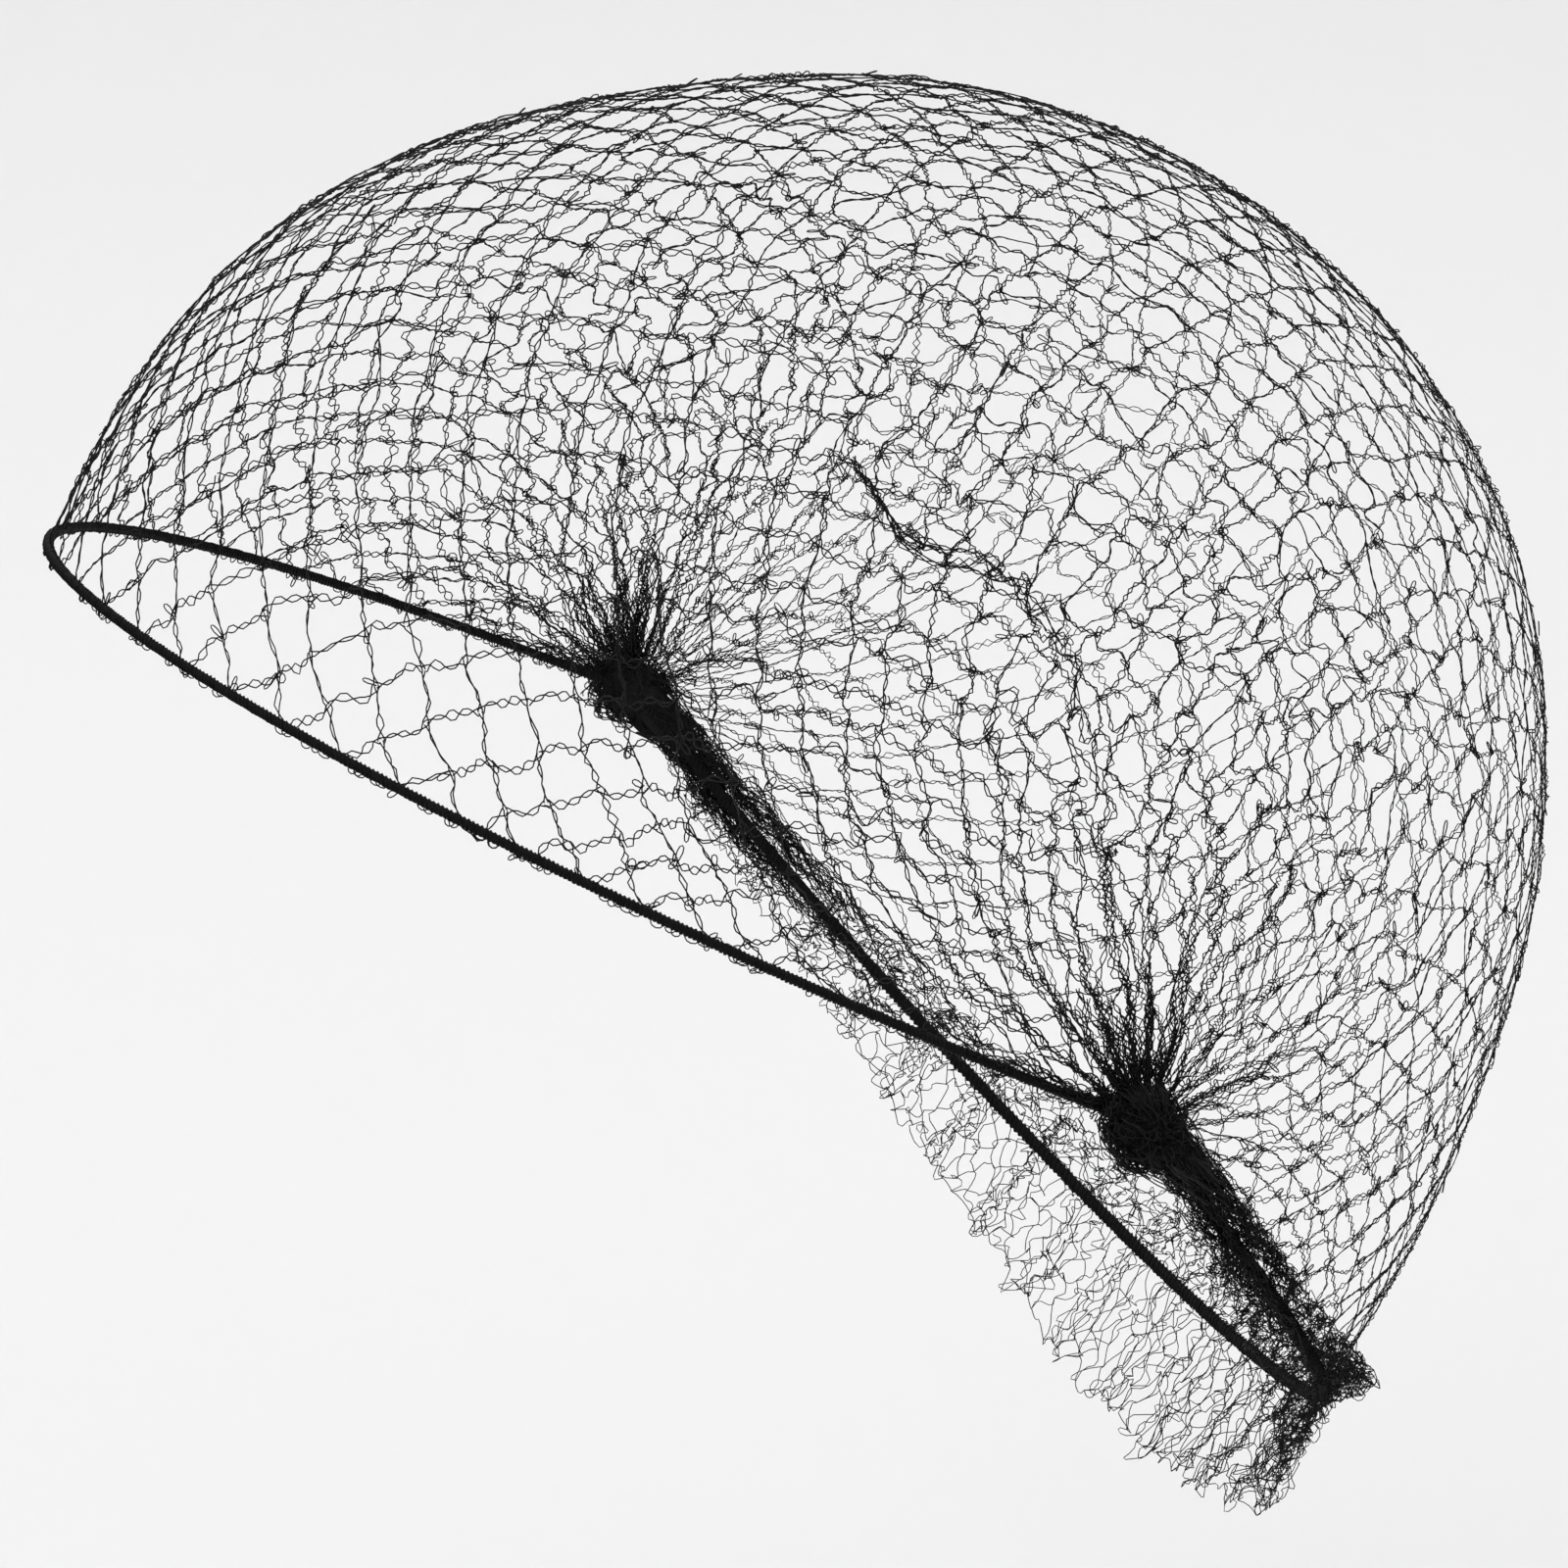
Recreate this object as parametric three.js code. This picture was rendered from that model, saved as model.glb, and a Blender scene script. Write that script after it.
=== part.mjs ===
// A worn hairnet: an open diamond net drawn over the crown, gathered into a
// bunch above each ear, with a thin covered elastic along its front edge, an
// elastic round the nape, and a ruffle of spare net on the nape elastic.
//
// Millimetres, +Z up. The forehead is towards -Y and the wearer's left ear
// towards +X. The origin is the top of the head hollow, on the mid-plane.
//
// Every piece is laid out on the head hollow by three coordinates:
//   angle  degrees about the line through both gathers: 0 is straight back,
//          90 straight up and 180 straight ahead
//   tilt   degrees from the mid-plane towards a gather, -90 to 90
//   lift   height above the wall of the hollow

import * as THREE from 'three';
import { mergeVertices } from 'three/addons/utils/BufferGeometryUtils.js';

// Head hollow
const HALF_WIDTH = 75;
const EAR_LINE = { y: 15, z: -105 };
const OUTLINE = [
  { place: 'under the nape', angle: -80, reach: 96 },
  { place: 'nape', angle: -54, reach: 86.5 },
  { place: 'below the back', angle: -20, reach: 80.5 },
  { place: 'back of the head', angle: 5, reach: 85 },
  { place: 'upper back', angle: 30, reach: 92 },
  { place: 'rear crown', angle: 55, reach: 97 },
  { place: 'crown', angle: 80, reach: 102 },
  { place: 'top', angle: 98, reach: 106 },
  { place: 'hairline', angle: 130, reach: 118.5 },
  { place: 'forehead', angle: 155, reach: 117 },
];

// Clearance that keeps two touching pieces apart
const GAP = 0.3;

// Crown net
const WALL = 1.2;
const FRONT_ANGLE = 151;
const NAPE_ANGLE = -54;
const COLUMNS = 16;
const HALF_ROWS = 7;
const NET_TILT = 77;
const GATHER_TILT = 84.5;
const PLEAT_STEPS = 3;
const PLEAT_RISE = 1.4;
const GAP_SHARE = { corner: 0.72, side: 0.8, hem: 0.6 };

// Elastics
const FRONT_RADIUS = 0.9;
const NAPE_RADIUS = 1.2;
const ELASTIC_SIDES = 8;
const ELASTIC_STEPS = 48;

// Bunches above the ears
const BUNCH_RISE = 5.5;
const BUNCH_SINK = 0.8;
const BUNCH_EAR_SIDE = 6.5;
const BUNCH_FOLDS = 9;
const BUNCH_FOLD_DEPTH = 0.1;

// Ruffle on the nape elastic, from its upper edge to its lower one. The reach
// along the head is given beside the ears and at the middle of the nape, where
// the lower edge hangs down as a loose tail.
const FRILL_TILT = 76;
const FRILL_WAVES = 22;
const FRILL_SAMPLES = 4;
const FRILL_ROWS = [
  { place: 'upper edge', besideEar: 2.5, atNape: 7, lift: 2.2, wave: 2.4 },
  { place: 'on the elastic', besideEar: 0, atNape: 0, lift: 2.8, wave: 0.9 },
  { place: 'below the elastic', besideEar: -2, atNape: -8, lift: 1.2, wave: 2.6 },
  { place: 'lower edge', besideEar: -3.5, atNape: -18, lift: 0.8, wave: 4.2 },
];

const BLACK_NET = { color: 0x1a1a1b, roughness: 0.75, metalness: 0 };
const BLACK_ELASTIC = { color: 0x141415, roughness: 0.85, metalness: 0 };

const radians = THREE.MathUtils.degToRad;
const between = THREE.MathUtils.lerp;

const outlineReach = new THREE.CubicInterpolant(
  OUTLINE.map((row) => row.angle),
  OUTLINE.map((row) => row.reach),
  1,
);

function reachAt(angle) {
  return outlineReach.evaluate(angle)[0];
}

function onHead(angle, tilt, lift) {
  const radius = (reachAt(angle) + lift) * Math.cos(radians(tilt));
  return new THREE.Vector3(
    (HALF_WIDTH + lift) * Math.sin(radians(tilt)),
    EAR_LINE.y + radius * Math.cos(radians(angle)),
    EAR_LINE.z + radius * Math.sin(radians(angle)),
  );
}

// The angle that lies a length in millimetres along the head from another
function angleBeside(angle, tilt, length) {
  const radius = reachAt(angle) * Math.cos(radians(tilt));
  return angle + THREE.MathUtils.radToDeg(length / radius);
}

// Collects triangles, and gives them as one closed geometry
class Skin {
  corners = [];

  triangle(a, b, c) {
    this.corners.push(a, b, c);
  }

  quad(a, b, c, d) {
    this.triangle(a, b, c);
    this.triangle(a, c, d);
  }

  // Quads between two runs of points, the second to the left of the first
  strip(first, second) {
    for (let k = 0; k + 1 < first.length; k++) {
      this.quad(first[k], first[k + 1], second[k + 1], second[k]);
    }
  }

  geometry() {
    const geometry = mergeVertices(new THREE.BufferGeometry().setFromPoints(this.corners));
    geometry.computeVertexNormals();
    return geometry;
  }
}

function steps(from, to, count) {
  return Array.from({ length: count + 1 }, (_, k) => between(from, to, k / count));
}

// Net coordinates: columns run from the front edge to the nape, rows from ear
// to ear. Past HALF_ROWS the net is drawn together into pleats.
function netTilt(row) {
  const drawn = Math.max(Math.abs(row) - HALF_ROWS, 0);
  const open = Math.min(Math.abs(row), HALF_ROWS) / HALF_ROWS;
  return Math.sign(row) * (open * NET_TILT + drawn * (GATHER_TILT - NET_TILT));
}

function netPoint([column, row], lift) {
  const tilt = netTilt(row);
  const front = angleBeside(FRONT_ANGLE, tilt, -(FRONT_RADIUS + GAP));
  const nape = angleBeside(NAPE_ANGLE, tilt, NAPE_RADIUS + GAP);
  const drawn = Math.max(Math.abs(row) - HALF_ROWS, 0);
  const ridge = (1 + Math.cos(2 * Math.PI * column)) / 2;
  return onHead(between(front, nape, column / COLUMNS), tilt, lift + PLEAT_RISE * drawn * ridge);
}

// Corners and side middles of one diamond of the net, held inside its edges
const DIAMOND = [
  [0, 1], [0.5, 0.5], [1, 0], [0.5, -0.5], [0, -1], [-0.5, -0.5], [-1, 0], [-0.5, 0.5],
];

function diamondPlaces(column, row) {
  const held = DIAMOND.map(([along, across]) => [
    THREE.MathUtils.clamp(column + along, 0, COLUMNS),
    THREE.MathUtils.clamp(row + across, -HALF_ROWS, HALF_ROWS),
  ]);
  return held.filter(([c, r], k) => {
    const [nextColumn, nextRow] = held[(k + 1) % held.length];
    return c !== nextColumn || r !== nextRow;
  });
}

function middleOf(places) {
  const sum = places.reduce(([c, r], place) => [c + place[0], r + place[1]], [0, 0]);
  return sum.map((total) => total / places.length);
}

function closedRun(places, lift) {
  return [...places, places[0]].map((place) => netPoint(place, lift));
}

function addDiamond(skin, column, row) {
  const places = diamondPlaces(column, row);
  const middle = middleOf(places);
  const outer = closedRun(places, WALL);
  const inner = closedRun(places, 0);
  if (Math.abs(row) === HALF_ROWS) {
    const top = netPoint(middle, WALL);
    const bottom = netPoint(middle, 0);
    for (let k = 0; k < places.length; k++) {
      skin.triangle(outer[k], outer[k + 1], top);
      skin.triangle(inner[k + 1], inner[k], bottom);
    }
    return;
  }
  const atHem = column === 0 || column === COLUMNS;
  const hole = places.map(([c, r]) => {
    const isCorner = Number.isInteger(c) && Number.isInteger(r);
    const share = atHem ? GAP_SHARE.hem : isCorner ? GAP_SHARE.corner : GAP_SHARE.side;
    return [between(middle[0], c, share), between(middle[1], r, share)];
  });
  const holeOuter = closedRun(hole, WALL);
  const holeInner = closedRun(hole, 0);
  skin.strip(outer, holeOuter);
  skin.strip(holeInner, inner);
  skin.strip(holeOuter, holeInner);
}

function crownNet() {
  const skin = new Skin();
  for (let row = -HALF_ROWS; row <= HALF_ROWS; row++) {
    for (let column = 0; column <= COLUMNS; column++) {
      if ((column + row) % 2 !== 0) addDiamond(skin, column, row);
    }
  }
  const run = (places, lift) => places.map((place) => netPoint(place, lift));
  const columns = steps(0, COLUMNS, 2 * COLUMNS);
  const pleatRows = steps(HALF_ROWS, HALF_ROWS + 1, PLEAT_STEPS);
  for (const side of [-1, 1]) {
    for (let k = 0; k < PLEAT_STEPS; k++) {
      const rows = [side * pleatRows[k], side * pleatRows[k + 1]].sort((a, b) => a - b);
      const [low, high] = rows.map((row) => columns.map((column) => [column, row]));
      skin.strip(run(high, WALL), run(low, WALL));
      skin.strip(run(low, 0), run(high, 0));
    }
    const mouth = columns.map((column) => [column, side * (HALF_ROWS + 1)]);
    const [over, under] = side > 0 ? [0, WALL] : [WALL, 0];
    skin.strip(run(mouth, over), run(mouth, under));
  }
  const rows = [
    ...pleatRows.slice(1).reverse().map((row) => -row),
    ...steps(-HALF_ROWS, HALF_ROWS, 4 * HALF_ROWS),
    ...pleatRows.slice(1),
  ];
  const frontEdge = rows.map((row) => [0, row]);
  const napeEdge = rows.map((row) => [COLUMNS, row]);
  skin.strip(run(frontEdge, 0), run(frontEdge, WALL));
  skin.strip(run(napeEdge, WALL), run(napeEdge, 0));
  return skin.geometry();
}

// A curve on the head at one angle, from bunch to bunch
class RimCurve extends THREE.Curve {
  constructor(angle, endTilt, lift) {
    super();
    Object.assign(this, { angle, endTilt, lift });
  }

  getPoint(share, target = new THREE.Vector3()) {
    return target.copy(onHead(this.angle, between(-this.endTilt, this.endTilt, share), this.lift));
  }
}

function elastic(angle, radius) {
  const section = new THREE.Shape(
    new THREE.EllipseCurve(0, 0, radius, radius).getPoints(ELASTIC_SIDES).slice(0, -1),
  );
  const endTilt = tiltAtRadius(angle, bunchRadius(angle) + GAP);
  return new THREE.ExtrudeGeometry(section, {
    steps: ELASTIC_STEPS,
    extrudePath: new RimCurve(angle, endTilt, radius),
  });
}

function tiltAtRadius(angle, radius) {
  return THREE.MathUtils.radToDeg(Math.acos(radius / reachAt(angle)));
}

// How far a bunch reaches from the ear line: to the mouth of the pleats where
// the net surrounds it, and BUNCH_EAR_SIDE on the open side below
function bunchRadius(angle) {
  const mouth = reachAt(angle) * Math.cos(radians(GATHER_TILT)) - GAP;
  return Math.max(mouth, BUNCH_EAR_SIDE);
}

function bunch(side) {
  const geometry = new THREE.SphereGeometry(1, 4 * BUNCH_FOLDS, 8);
  geometry.rotateZ(-Math.PI / 2);
  const places = geometry.attributes.position;
  const point = new THREE.Vector3();
  for (let k = 0; k < places.count; k++) {
    point.fromBufferAttribute(places, k);
    const turn = Math.atan2(point.z, point.y);
    const degrees = THREE.MathUtils.radToDeg(turn);
    const angle = degrees < OUTLINE[0].angle ? degrees + 360 : degrees;
    const fold = 1 - BUNCH_FOLD_DEPTH * (1 + Math.cos(BUNCH_FOLDS * 2 * turn)) * Math.abs(point.x);
    const radius = Math.hypot(point.y, point.z) * fold * bunchRadius(Math.min(angle, 155));
    const height = point.x > 0 ? BUNCH_RISE * fold : BUNCH_SINK;
    places.setXYZ(
      k,
      side * (HALF_WIDTH + BUNCH_SINK + GAP + height * point.x),
      EAR_LINE.y + radius * Math.cos(turn),
      EAR_LINE.z + radius * Math.sin(turn),
    );
  }
  if (side < 0) {
    const order = geometry.index.array;
    for (let k = 0; k < order.length; k += 3) {
      [order[k], order[k + 1]] = [order[k + 1], order[k]];
    }
  }
  geometry.computeVertexNormals();
  return geometry;
}

function frillPoint(row, share, thickness) {
  const tilt = between(-FRILL_TILT, FRILL_TILT, share);
  const hang = Math.cos(radians(tilt)) ** 2;
  const length = between(row.besideEar, row.atNape, hang);
  const wave = (1 - Math.cos(2 * Math.PI * FRILL_WAVES * share)) / 2;
  return onHead(angleBeside(NAPE_ANGLE, tilt, length), tilt, row.lift + row.wave * wave + thickness);
}

function napeFrill() {
  const skin = new Skin();
  const shares = steps(0, 1, FRILL_WAVES * FRILL_SAMPLES);
  const run = (row, thickness) => shares.map((share) => frillPoint(row, share, thickness));
  const outer = FRILL_ROWS.map((row) => run(row, WALL));
  const inner = FRILL_ROWS.map((row) => run(row, 0));
  const last = FRILL_ROWS.length - 1;
  for (let k = 0; k < last; k++) {
    skin.strip(outer[k], outer[k + 1]);
    skin.strip(inner[k + 1], inner[k]);
  }
  skin.strip(inner[0], outer[0]);
  skin.strip(outer[last], inner[last]);
  const endRun = (rows, k) => rows.map((row) => row[k]);
  const lastShare = shares.length - 1;
  skin.strip(endRun(outer, 0), endRun(inner, 0));
  skin.strip(endRun(inner, lastShare), endRun(outer, lastShare));
  return skin.geometry();
}

function piece(name, geometry, look) {
  const mesh = new THREE.Mesh(geometry, new THREE.MeshStandardMaterial(look));
  mesh.name = name;
  return mesh;
}

const hairnet = new THREE.Group();
hairnet.add(
  piece('crown_net', crownNet(), BLACK_NET),
  piece('front_band', elastic(FRONT_ANGLE, FRONT_RADIUS), BLACK_ELASTIC),
  piece('nape_band', elastic(NAPE_ANGLE, NAPE_RADIUS), BLACK_ELASTIC),
  piece('ear_gather_left', bunch(1), BLACK_NET),
  piece('ear_gather_right', bunch(-1), BLACK_NET),
  piece('nape_frill', napeFrill(), BLACK_NET),
);

export default hairnet;
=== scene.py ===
import logging
import math
from dataclasses import dataclass, field
from enum import Enum

import bmesh
import bpy
import numpy as np
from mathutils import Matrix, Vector


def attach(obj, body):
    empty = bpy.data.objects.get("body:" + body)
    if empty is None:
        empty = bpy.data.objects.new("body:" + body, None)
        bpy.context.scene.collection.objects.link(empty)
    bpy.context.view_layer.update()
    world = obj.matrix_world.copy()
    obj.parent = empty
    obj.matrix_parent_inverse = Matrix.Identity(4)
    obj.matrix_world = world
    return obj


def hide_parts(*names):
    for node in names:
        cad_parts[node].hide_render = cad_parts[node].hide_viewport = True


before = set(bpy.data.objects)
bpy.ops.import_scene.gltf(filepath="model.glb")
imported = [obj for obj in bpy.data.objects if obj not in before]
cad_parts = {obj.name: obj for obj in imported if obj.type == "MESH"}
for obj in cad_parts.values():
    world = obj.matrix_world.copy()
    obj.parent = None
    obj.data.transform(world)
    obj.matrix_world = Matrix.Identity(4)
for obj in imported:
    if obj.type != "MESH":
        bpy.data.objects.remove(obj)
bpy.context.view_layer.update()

# A worn hairnet: a chain-stitch net of fine black yarn over the crown, bunched above each ear,
# with a covered elastic along its front edge, another round the nape, and a ruffle on that one.
# Sizes are in millimetres and degrees until a mesh is made. Meshes are in metres.

MM = 0.001
SEED = 20
BODY = "root"
# Lengths that keep a division or a direction from failing
TINY = 1e-9
TINY_STEP = 1e-6
# Random phases are drawn from about one turn, in radians
PHASES = 6

Array = np.ndarray
Span = tuple[float, float]
log = logging.getLogger("hairnet")


class Side(Enum):
    """The net's two sides, as the sign of X."""

    LEFT = 1
    RIGHT = -1


class Slot(Enum):
    """The record's material slots."""

    NET = "net"
    ELASTIC = "elastic"


def unit(vectors: Array) -> Array:
    """Scales vectors along the last axis to length one."""
    return vectors / np.maximum(np.linalg.norm(vectors, axis=-1, keepdims=True), TINY)


def mix(low: Array | float, high: Array | float, share: Array | float) -> Array | float:
    """Goes from low to high by a share from 0 to 1."""
    return low + (high - low) * share


def smooth(low: float, high: float, value: Array) -> Array:
    """Rises smoothly from 0 at low to 1 at high."""
    share = np.clip((value - low) / (high - low), 0, 1)
    return share * share * (3 - 2 * share)


def linear_colour(code: str) -> tuple[float, float, float, float]:
    """Turns an sRGB hex colour into linear RGBA.

    Args:
        code: the colour as six hex digits after a hash mark.

    Returns:
        Linear red, green, blue and an alpha of one.
    """
    parts = [int(code[k : k + 2], 16) / 255 for k in (1, 3, 5)]
    red, green, blue = (c / 12.92 if c <= 0.04045 else ((c + 0.055) / 1.055) ** 2.4 for c in parts)
    return red, green, blue, 1.0


def add_node(
    tree: bpy.types.NodeTree,
    kind: str,
    settings: dict[str, object] | None = None,
    **links: bpy.types.NodeSocket,
) -> bpy.types.Node:
    """Adds a node with its settings and its input links.

    Args:
        tree: the material's node tree.
        kind: the node's type name.
        settings: properties by name, and input values by socket name.
        links: output sockets by the input's name, with _ for a space.

    Returns:
        The new node.
    """
    node = tree.nodes.new(kind)
    for name, value in (settings or {}).items():
        if name in node.inputs:
            node.inputs[name].default_value = value
        else:
            setattr(node, name, value)
    for name, output in links.items():
        tree.links.new(output, node.inputs[name.replace("_", " ")])
    return node


def add_object(mesh: bpy.types.Mesh, material: bpy.types.Material) -> bpy.types.Object:
    """Adds a finished mesh to the scene, under its own name.

    Args:
        mesh: the mesh, with its place in its vertices.
        material: its finish.

    Returns:
        The new object.
    """
    mesh.materials.append(material)
    made = bpy.data.objects.new(mesh.name, mesh)
    bpy.context.scene.collection.objects.link(made)
    return made


def add_form(form: bmesh.types.BMesh, name: str, material: bpy.types.Material) -> bpy.types.Object:
    """Makes an object of a finished bmesh, which is freed.

    Args:
        form: the bmesh.
        name: the object's name.
        material: its finish.

    Returns:
        The new object.
    """
    mesh = bpy.data.meshes.new(name)
    form.to_mesh(mesh)
    form.free()
    return add_object(mesh, material)


def enlist(piece: bpy.types.Object, slot: Slot, *nodes: str) -> None:
    """Sets a piece on the part's body, in place of its solids, and reports it.

    Args:
        piece: the finished piece.
        slot: the record's material slot; not used.
        nodes: the solids that it stands for.
    """
    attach(piece, BODY)
    if nodes:
        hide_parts(*nodes)
    triangles = sum(len(face.vertices) - 2 for face in piece.data.polygons)
    log.info("%s: %d triangles", piece.name, triangles)


@dataclass(frozen=True)
class YarnFinish:
    """Black textured nylon yarn: dull, with a soft shine where the filaments turn to the light."""

    name: str = "textured_nylon_yarn"
    dark: str = "#050506"
    light: str = "#17171a"
    light_from: float = 0.6
    ior: float = 1.53
    specular: float = 0.14
    roughness: float = 0.6
    smoother: float = 0.12
    rougher: float = 0.15
    sheen: float = 0.0
    mottle_mm: float = 2.4
    twist_mm: float = 0.7
    bump: float = 0.3
    bump_mm: float = 0.03

    def material(self) -> bpy.types.Material:
        """Makes the material.

        Returns:
            The material, with colour by strand, a mottled roughness and a filament bump.
        """
        made = bpy.data.materials.new(self.name)
        made.use_nodes = True
        tree = made.node_tree
        shader = tree.nodes["Principled BSDF"]
        place = add_node(tree, "ShaderNodeTexCoord").outputs["Object"]
        strand = add_node(tree, "ShaderNodeAttribute", {"attribute_name": "yarn_shade"}).outputs["Fac"]
        mottle = add_node(
            tree,
            "ShaderNodeTexNoise",
            {"Scale": 1 / (self.mottle_mm * MM), "Detail": 2.0},
            Vector=place,
        ).outputs["Fac"]
        blend = add_node(tree, "ShaderNodeMath", {"operation": "MULTIPLY"})
        tree.links.new(strand, blend.inputs[0])
        tree.links.new(mottle, blend.inputs[1])
        ramp = add_node(tree, "ShaderNodeValToRGB", Fac=blend.outputs[0])
        ramp.color_ramp.elements[0].color = linear_colour(self.dark)
        ramp.color_ramp.elements[1].color = linear_colour(self.light)
        ramp.color_ramp.elements[1].position = self.light_from
        rough = add_node(
            tree,
            "ShaderNodeMapRange",
            {"To Min": self.roughness - self.smoother, "To Max": self.roughness + self.rougher},
            Value=mottle,
        )
        # The filaments of the yarn are a few hundredths of a millimetre across, too fine to show, so they
        # are drawn as coarse as the yarn's twist.
        twist = add_node(
            tree,
            "ShaderNodeTexNoise",
            {"Scale": 1 / (self.twist_mm * MM), "Detail": 1.0},
            Vector=place,
        )
        bump = add_node(
            tree,
            "ShaderNodeBump",
            {"Strength": self.bump, "Distance": self.bump_mm * MM},
            Height=twist.outputs["Fac"],
        )
        shader.inputs["IOR"].default_value = self.ior
        shader.inputs["Specular IOR Level"].default_value = self.specular
        shader.inputs["Sheen Weight"].default_value = self.sheen
        tree.links.new(ramp.outputs["Color"], shader.inputs["Base Color"])
        tree.links.new(rough.outputs["Result"], shader.inputs["Roughness"])
        tree.links.new(bump.outputs["Normal"], shader.inputs["Normal"])
        return made


@dataclass(frozen=True)
class ElasticFinish(YarnFinish):
    """Spun cover yarn wound on rubber: deeper black and duller than the net, with a fine fuzz."""

    name: str = "yarn_covered_elastic"
    dark: str = "#040404"
    light: str = "#121213"
    specular: float = 0.1
    roughness: float = 0.75
    sheen: float = 0.01
    mottle_mm: float = 1.6
    twist_mm: float = 0.35


@dataclass(frozen=True)
class StudioFinish:
    """Matt pale paint on the floor and backdrop: even, with hardly any shine."""

    name: str = "matt_pale_paint"
    colour: str = "#d9d9d9"
    roughness: float = 0.95

    def material(self) -> bpy.types.Material:
        """Makes the material.

        Returns:
            The material, of one colour and roughness.
        """
        made = bpy.data.materials.new(self.name)
        made.use_nodes = True
        shader = made.node_tree.nodes["Principled BSDF"]
        shader.inputs["Base Color"].default_value = linear_colour(self.colour)
        shader.inputs["Roughness"].default_value = self.roughness
        return made


@dataclass(frozen=True)
class HeadForm:
    """The head hollow that the net lies on.

    A place on it has an angle about the line through both bunches, 0 straight back and 90 straight up, a
    tilt from the mid-plane towards a bunch, and a lift above the hollow's wall.
    """

    half_width: float = 75.0
    ear_y: float = 15.0
    ear_z: float = -105.0
    front_angle: float = 151.0
    nape_angle: float = -54.0
    # Angles below this one are counted past the front, with a full turn added
    seam: float = -105.0
    # Angle and reach from the ear line, from below the nape over the crown to the front edge
    outline: tuple[Span, ...] = (
        (-80, 96), (-54, 86.5), (-20, 80.5), (5, 85), (30, 92), (55, 97), (80, 102), (98, 106),
        (130, 118.5), (155, 117),
    )
    middle_steps: int = 206
    meridian_steps: int = 91

    def reach(self, angle: Array) -> Array:
        """Gives the reach from the ear line to the mid-plane outline.

        Args:
            angle: angles about the ear line.

        Returns:
            The reach at each angle, on a smooth curve through the outline's rows.
        """
        angles, reaches = np.array(self.outline, float).T
        slopes = np.gradient(reaches, angles)
        at = np.clip(angle, angles[0], angles[-1])
        k = np.clip(np.searchsorted(angles, at) - 1, 0, len(angles) - 2)
        width = angles[k + 1] - angles[k]
        s = (at - angles[k]) / width
        from_low = (1 + 2 * s) * (1 - s) ** 2 * reaches[k] + s * (1 - s) ** 2 * width * slopes[k]
        from_high = s * s * (3 - 2 * s) * reaches[k + 1] - s * s * (1 - s) * width * slopes[k + 1]
        return from_low + from_high

    def point(self, angle: Array, tilt: Array, lift: Array | float = 0.0) -> Array:
        """Gives points on the form.

        Args:
            angle: angles about the ear line.
            tilt: tilts from the mid-plane.
            lift: heights above the wall.

        Returns:
            Points with X, Y and Z along the last axis.
        """
        turn, lean = np.radians(angle), np.radians(tilt)
        radius = (self.reach(angle) + lift) * np.cos(lean)
        across = (self.half_width + lift) * np.sin(lean)
        back, height = radius * np.cos(turn), radius * np.sin(turn)
        return np.stack(np.broadcast_arrays(across, self.ear_y + back, self.ear_z + height), axis=-1)

    def angle_of(self, back: Array, height: Array) -> Array:
        """Gives the angle of places behind and above the ear line."""
        angle = np.degrees(np.arctan2(height, back))
        return np.where(angle < self.seam, angle + 360, angle)

    def beside(self, side: Side, back: Array, height: Array, lift: Array | float) -> Array:
        """Gives points round a bunch from places on the plane across the ear line.

        Args:
            side: which bunch.
            back: lengths behind the ear line.
            height: lengths above the ear line.
            lift: heights above the wall.

        Returns:
            The points.
        """
        angle = self.angle_of(back, height)
        lean = np.degrees(np.arccos(np.clip(np.hypot(back, height) / self.reach(angle), 0, 1)))
        return self.point(angle, side.value * lean, lift)

    def from_ears(self, points: Array) -> tuple[Array, Array, Array]:
        """Measures points from the ear line.

        Args:
            points: the points.

        Returns:
            The points from the middle of the line, and their radius and angle about it.
        """
        away = points - np.array([0.0, self.ear_y, self.ear_z])
        back, height = away[..., 1], away[..., 2]
        return away, np.hypot(back, height), self.angle_of(back, height)

    def settle(self, points: Array, lift: Array | float) -> Array:
        """Moves points straight in or out until they lie on the form.

        Args:
            points: points near the form.
            lift: their heights above the wall.

        Returns:
            The points at that lift.
        """
        away, radius, angle = self.from_ears(points)
        share = np.hypot(away[..., 0] / (self.half_width + lift), radius / (self.reach(angle) + lift))
        return points - away + away / share[..., None]

    def outward(self, points: Array) -> Array:
        """Gives the direction straight out of the form.

        Args:
            points: points near the form.

        Returns:
            The direction at each point.
        """
        away, _, angle = self.from_ears(points)
        scale = np.stack([np.full(angle.shape, self.half_width), self.reach(angle), self.reach(angle)], -1)
        return unit(away / scale**2)

    def angle_along(self, share: float) -> float:
        """Goes along the mid-plane from the front to the nape.

        Args:
            share: the share of the way, by length.

        Returns:
            The angle there.
        """
        angles = np.linspace(self.front_angle, self.nape_angle, self.middle_steps)
        lengths = np.cumsum(self.reach(angles))
        lengths = (lengths - lengths[0]) / (lengths[-1] - lengths[0])
        return float(np.interp(share, lengths, angles))

    def meridian(self, angle: float, end_tilt: float) -> tuple[Array, Array]:
        """Measures along a meridian from the mid-plane.

        Args:
            angle: the meridian's angle.
            end_tilt: the tilt at its end.

        Returns:
            Tilts from 0 to the end, and the length to each of them.
        """
        tilts = np.linspace(0, end_tilt, self.meridian_steps)
        points = self.point(np.full(tilts.shape, angle), tilts)
        steps = np.linalg.norm(np.diff(points, axis=0), axis=1)
        return tilts, np.concatenate([[0], np.cumsum(steps)])

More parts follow.
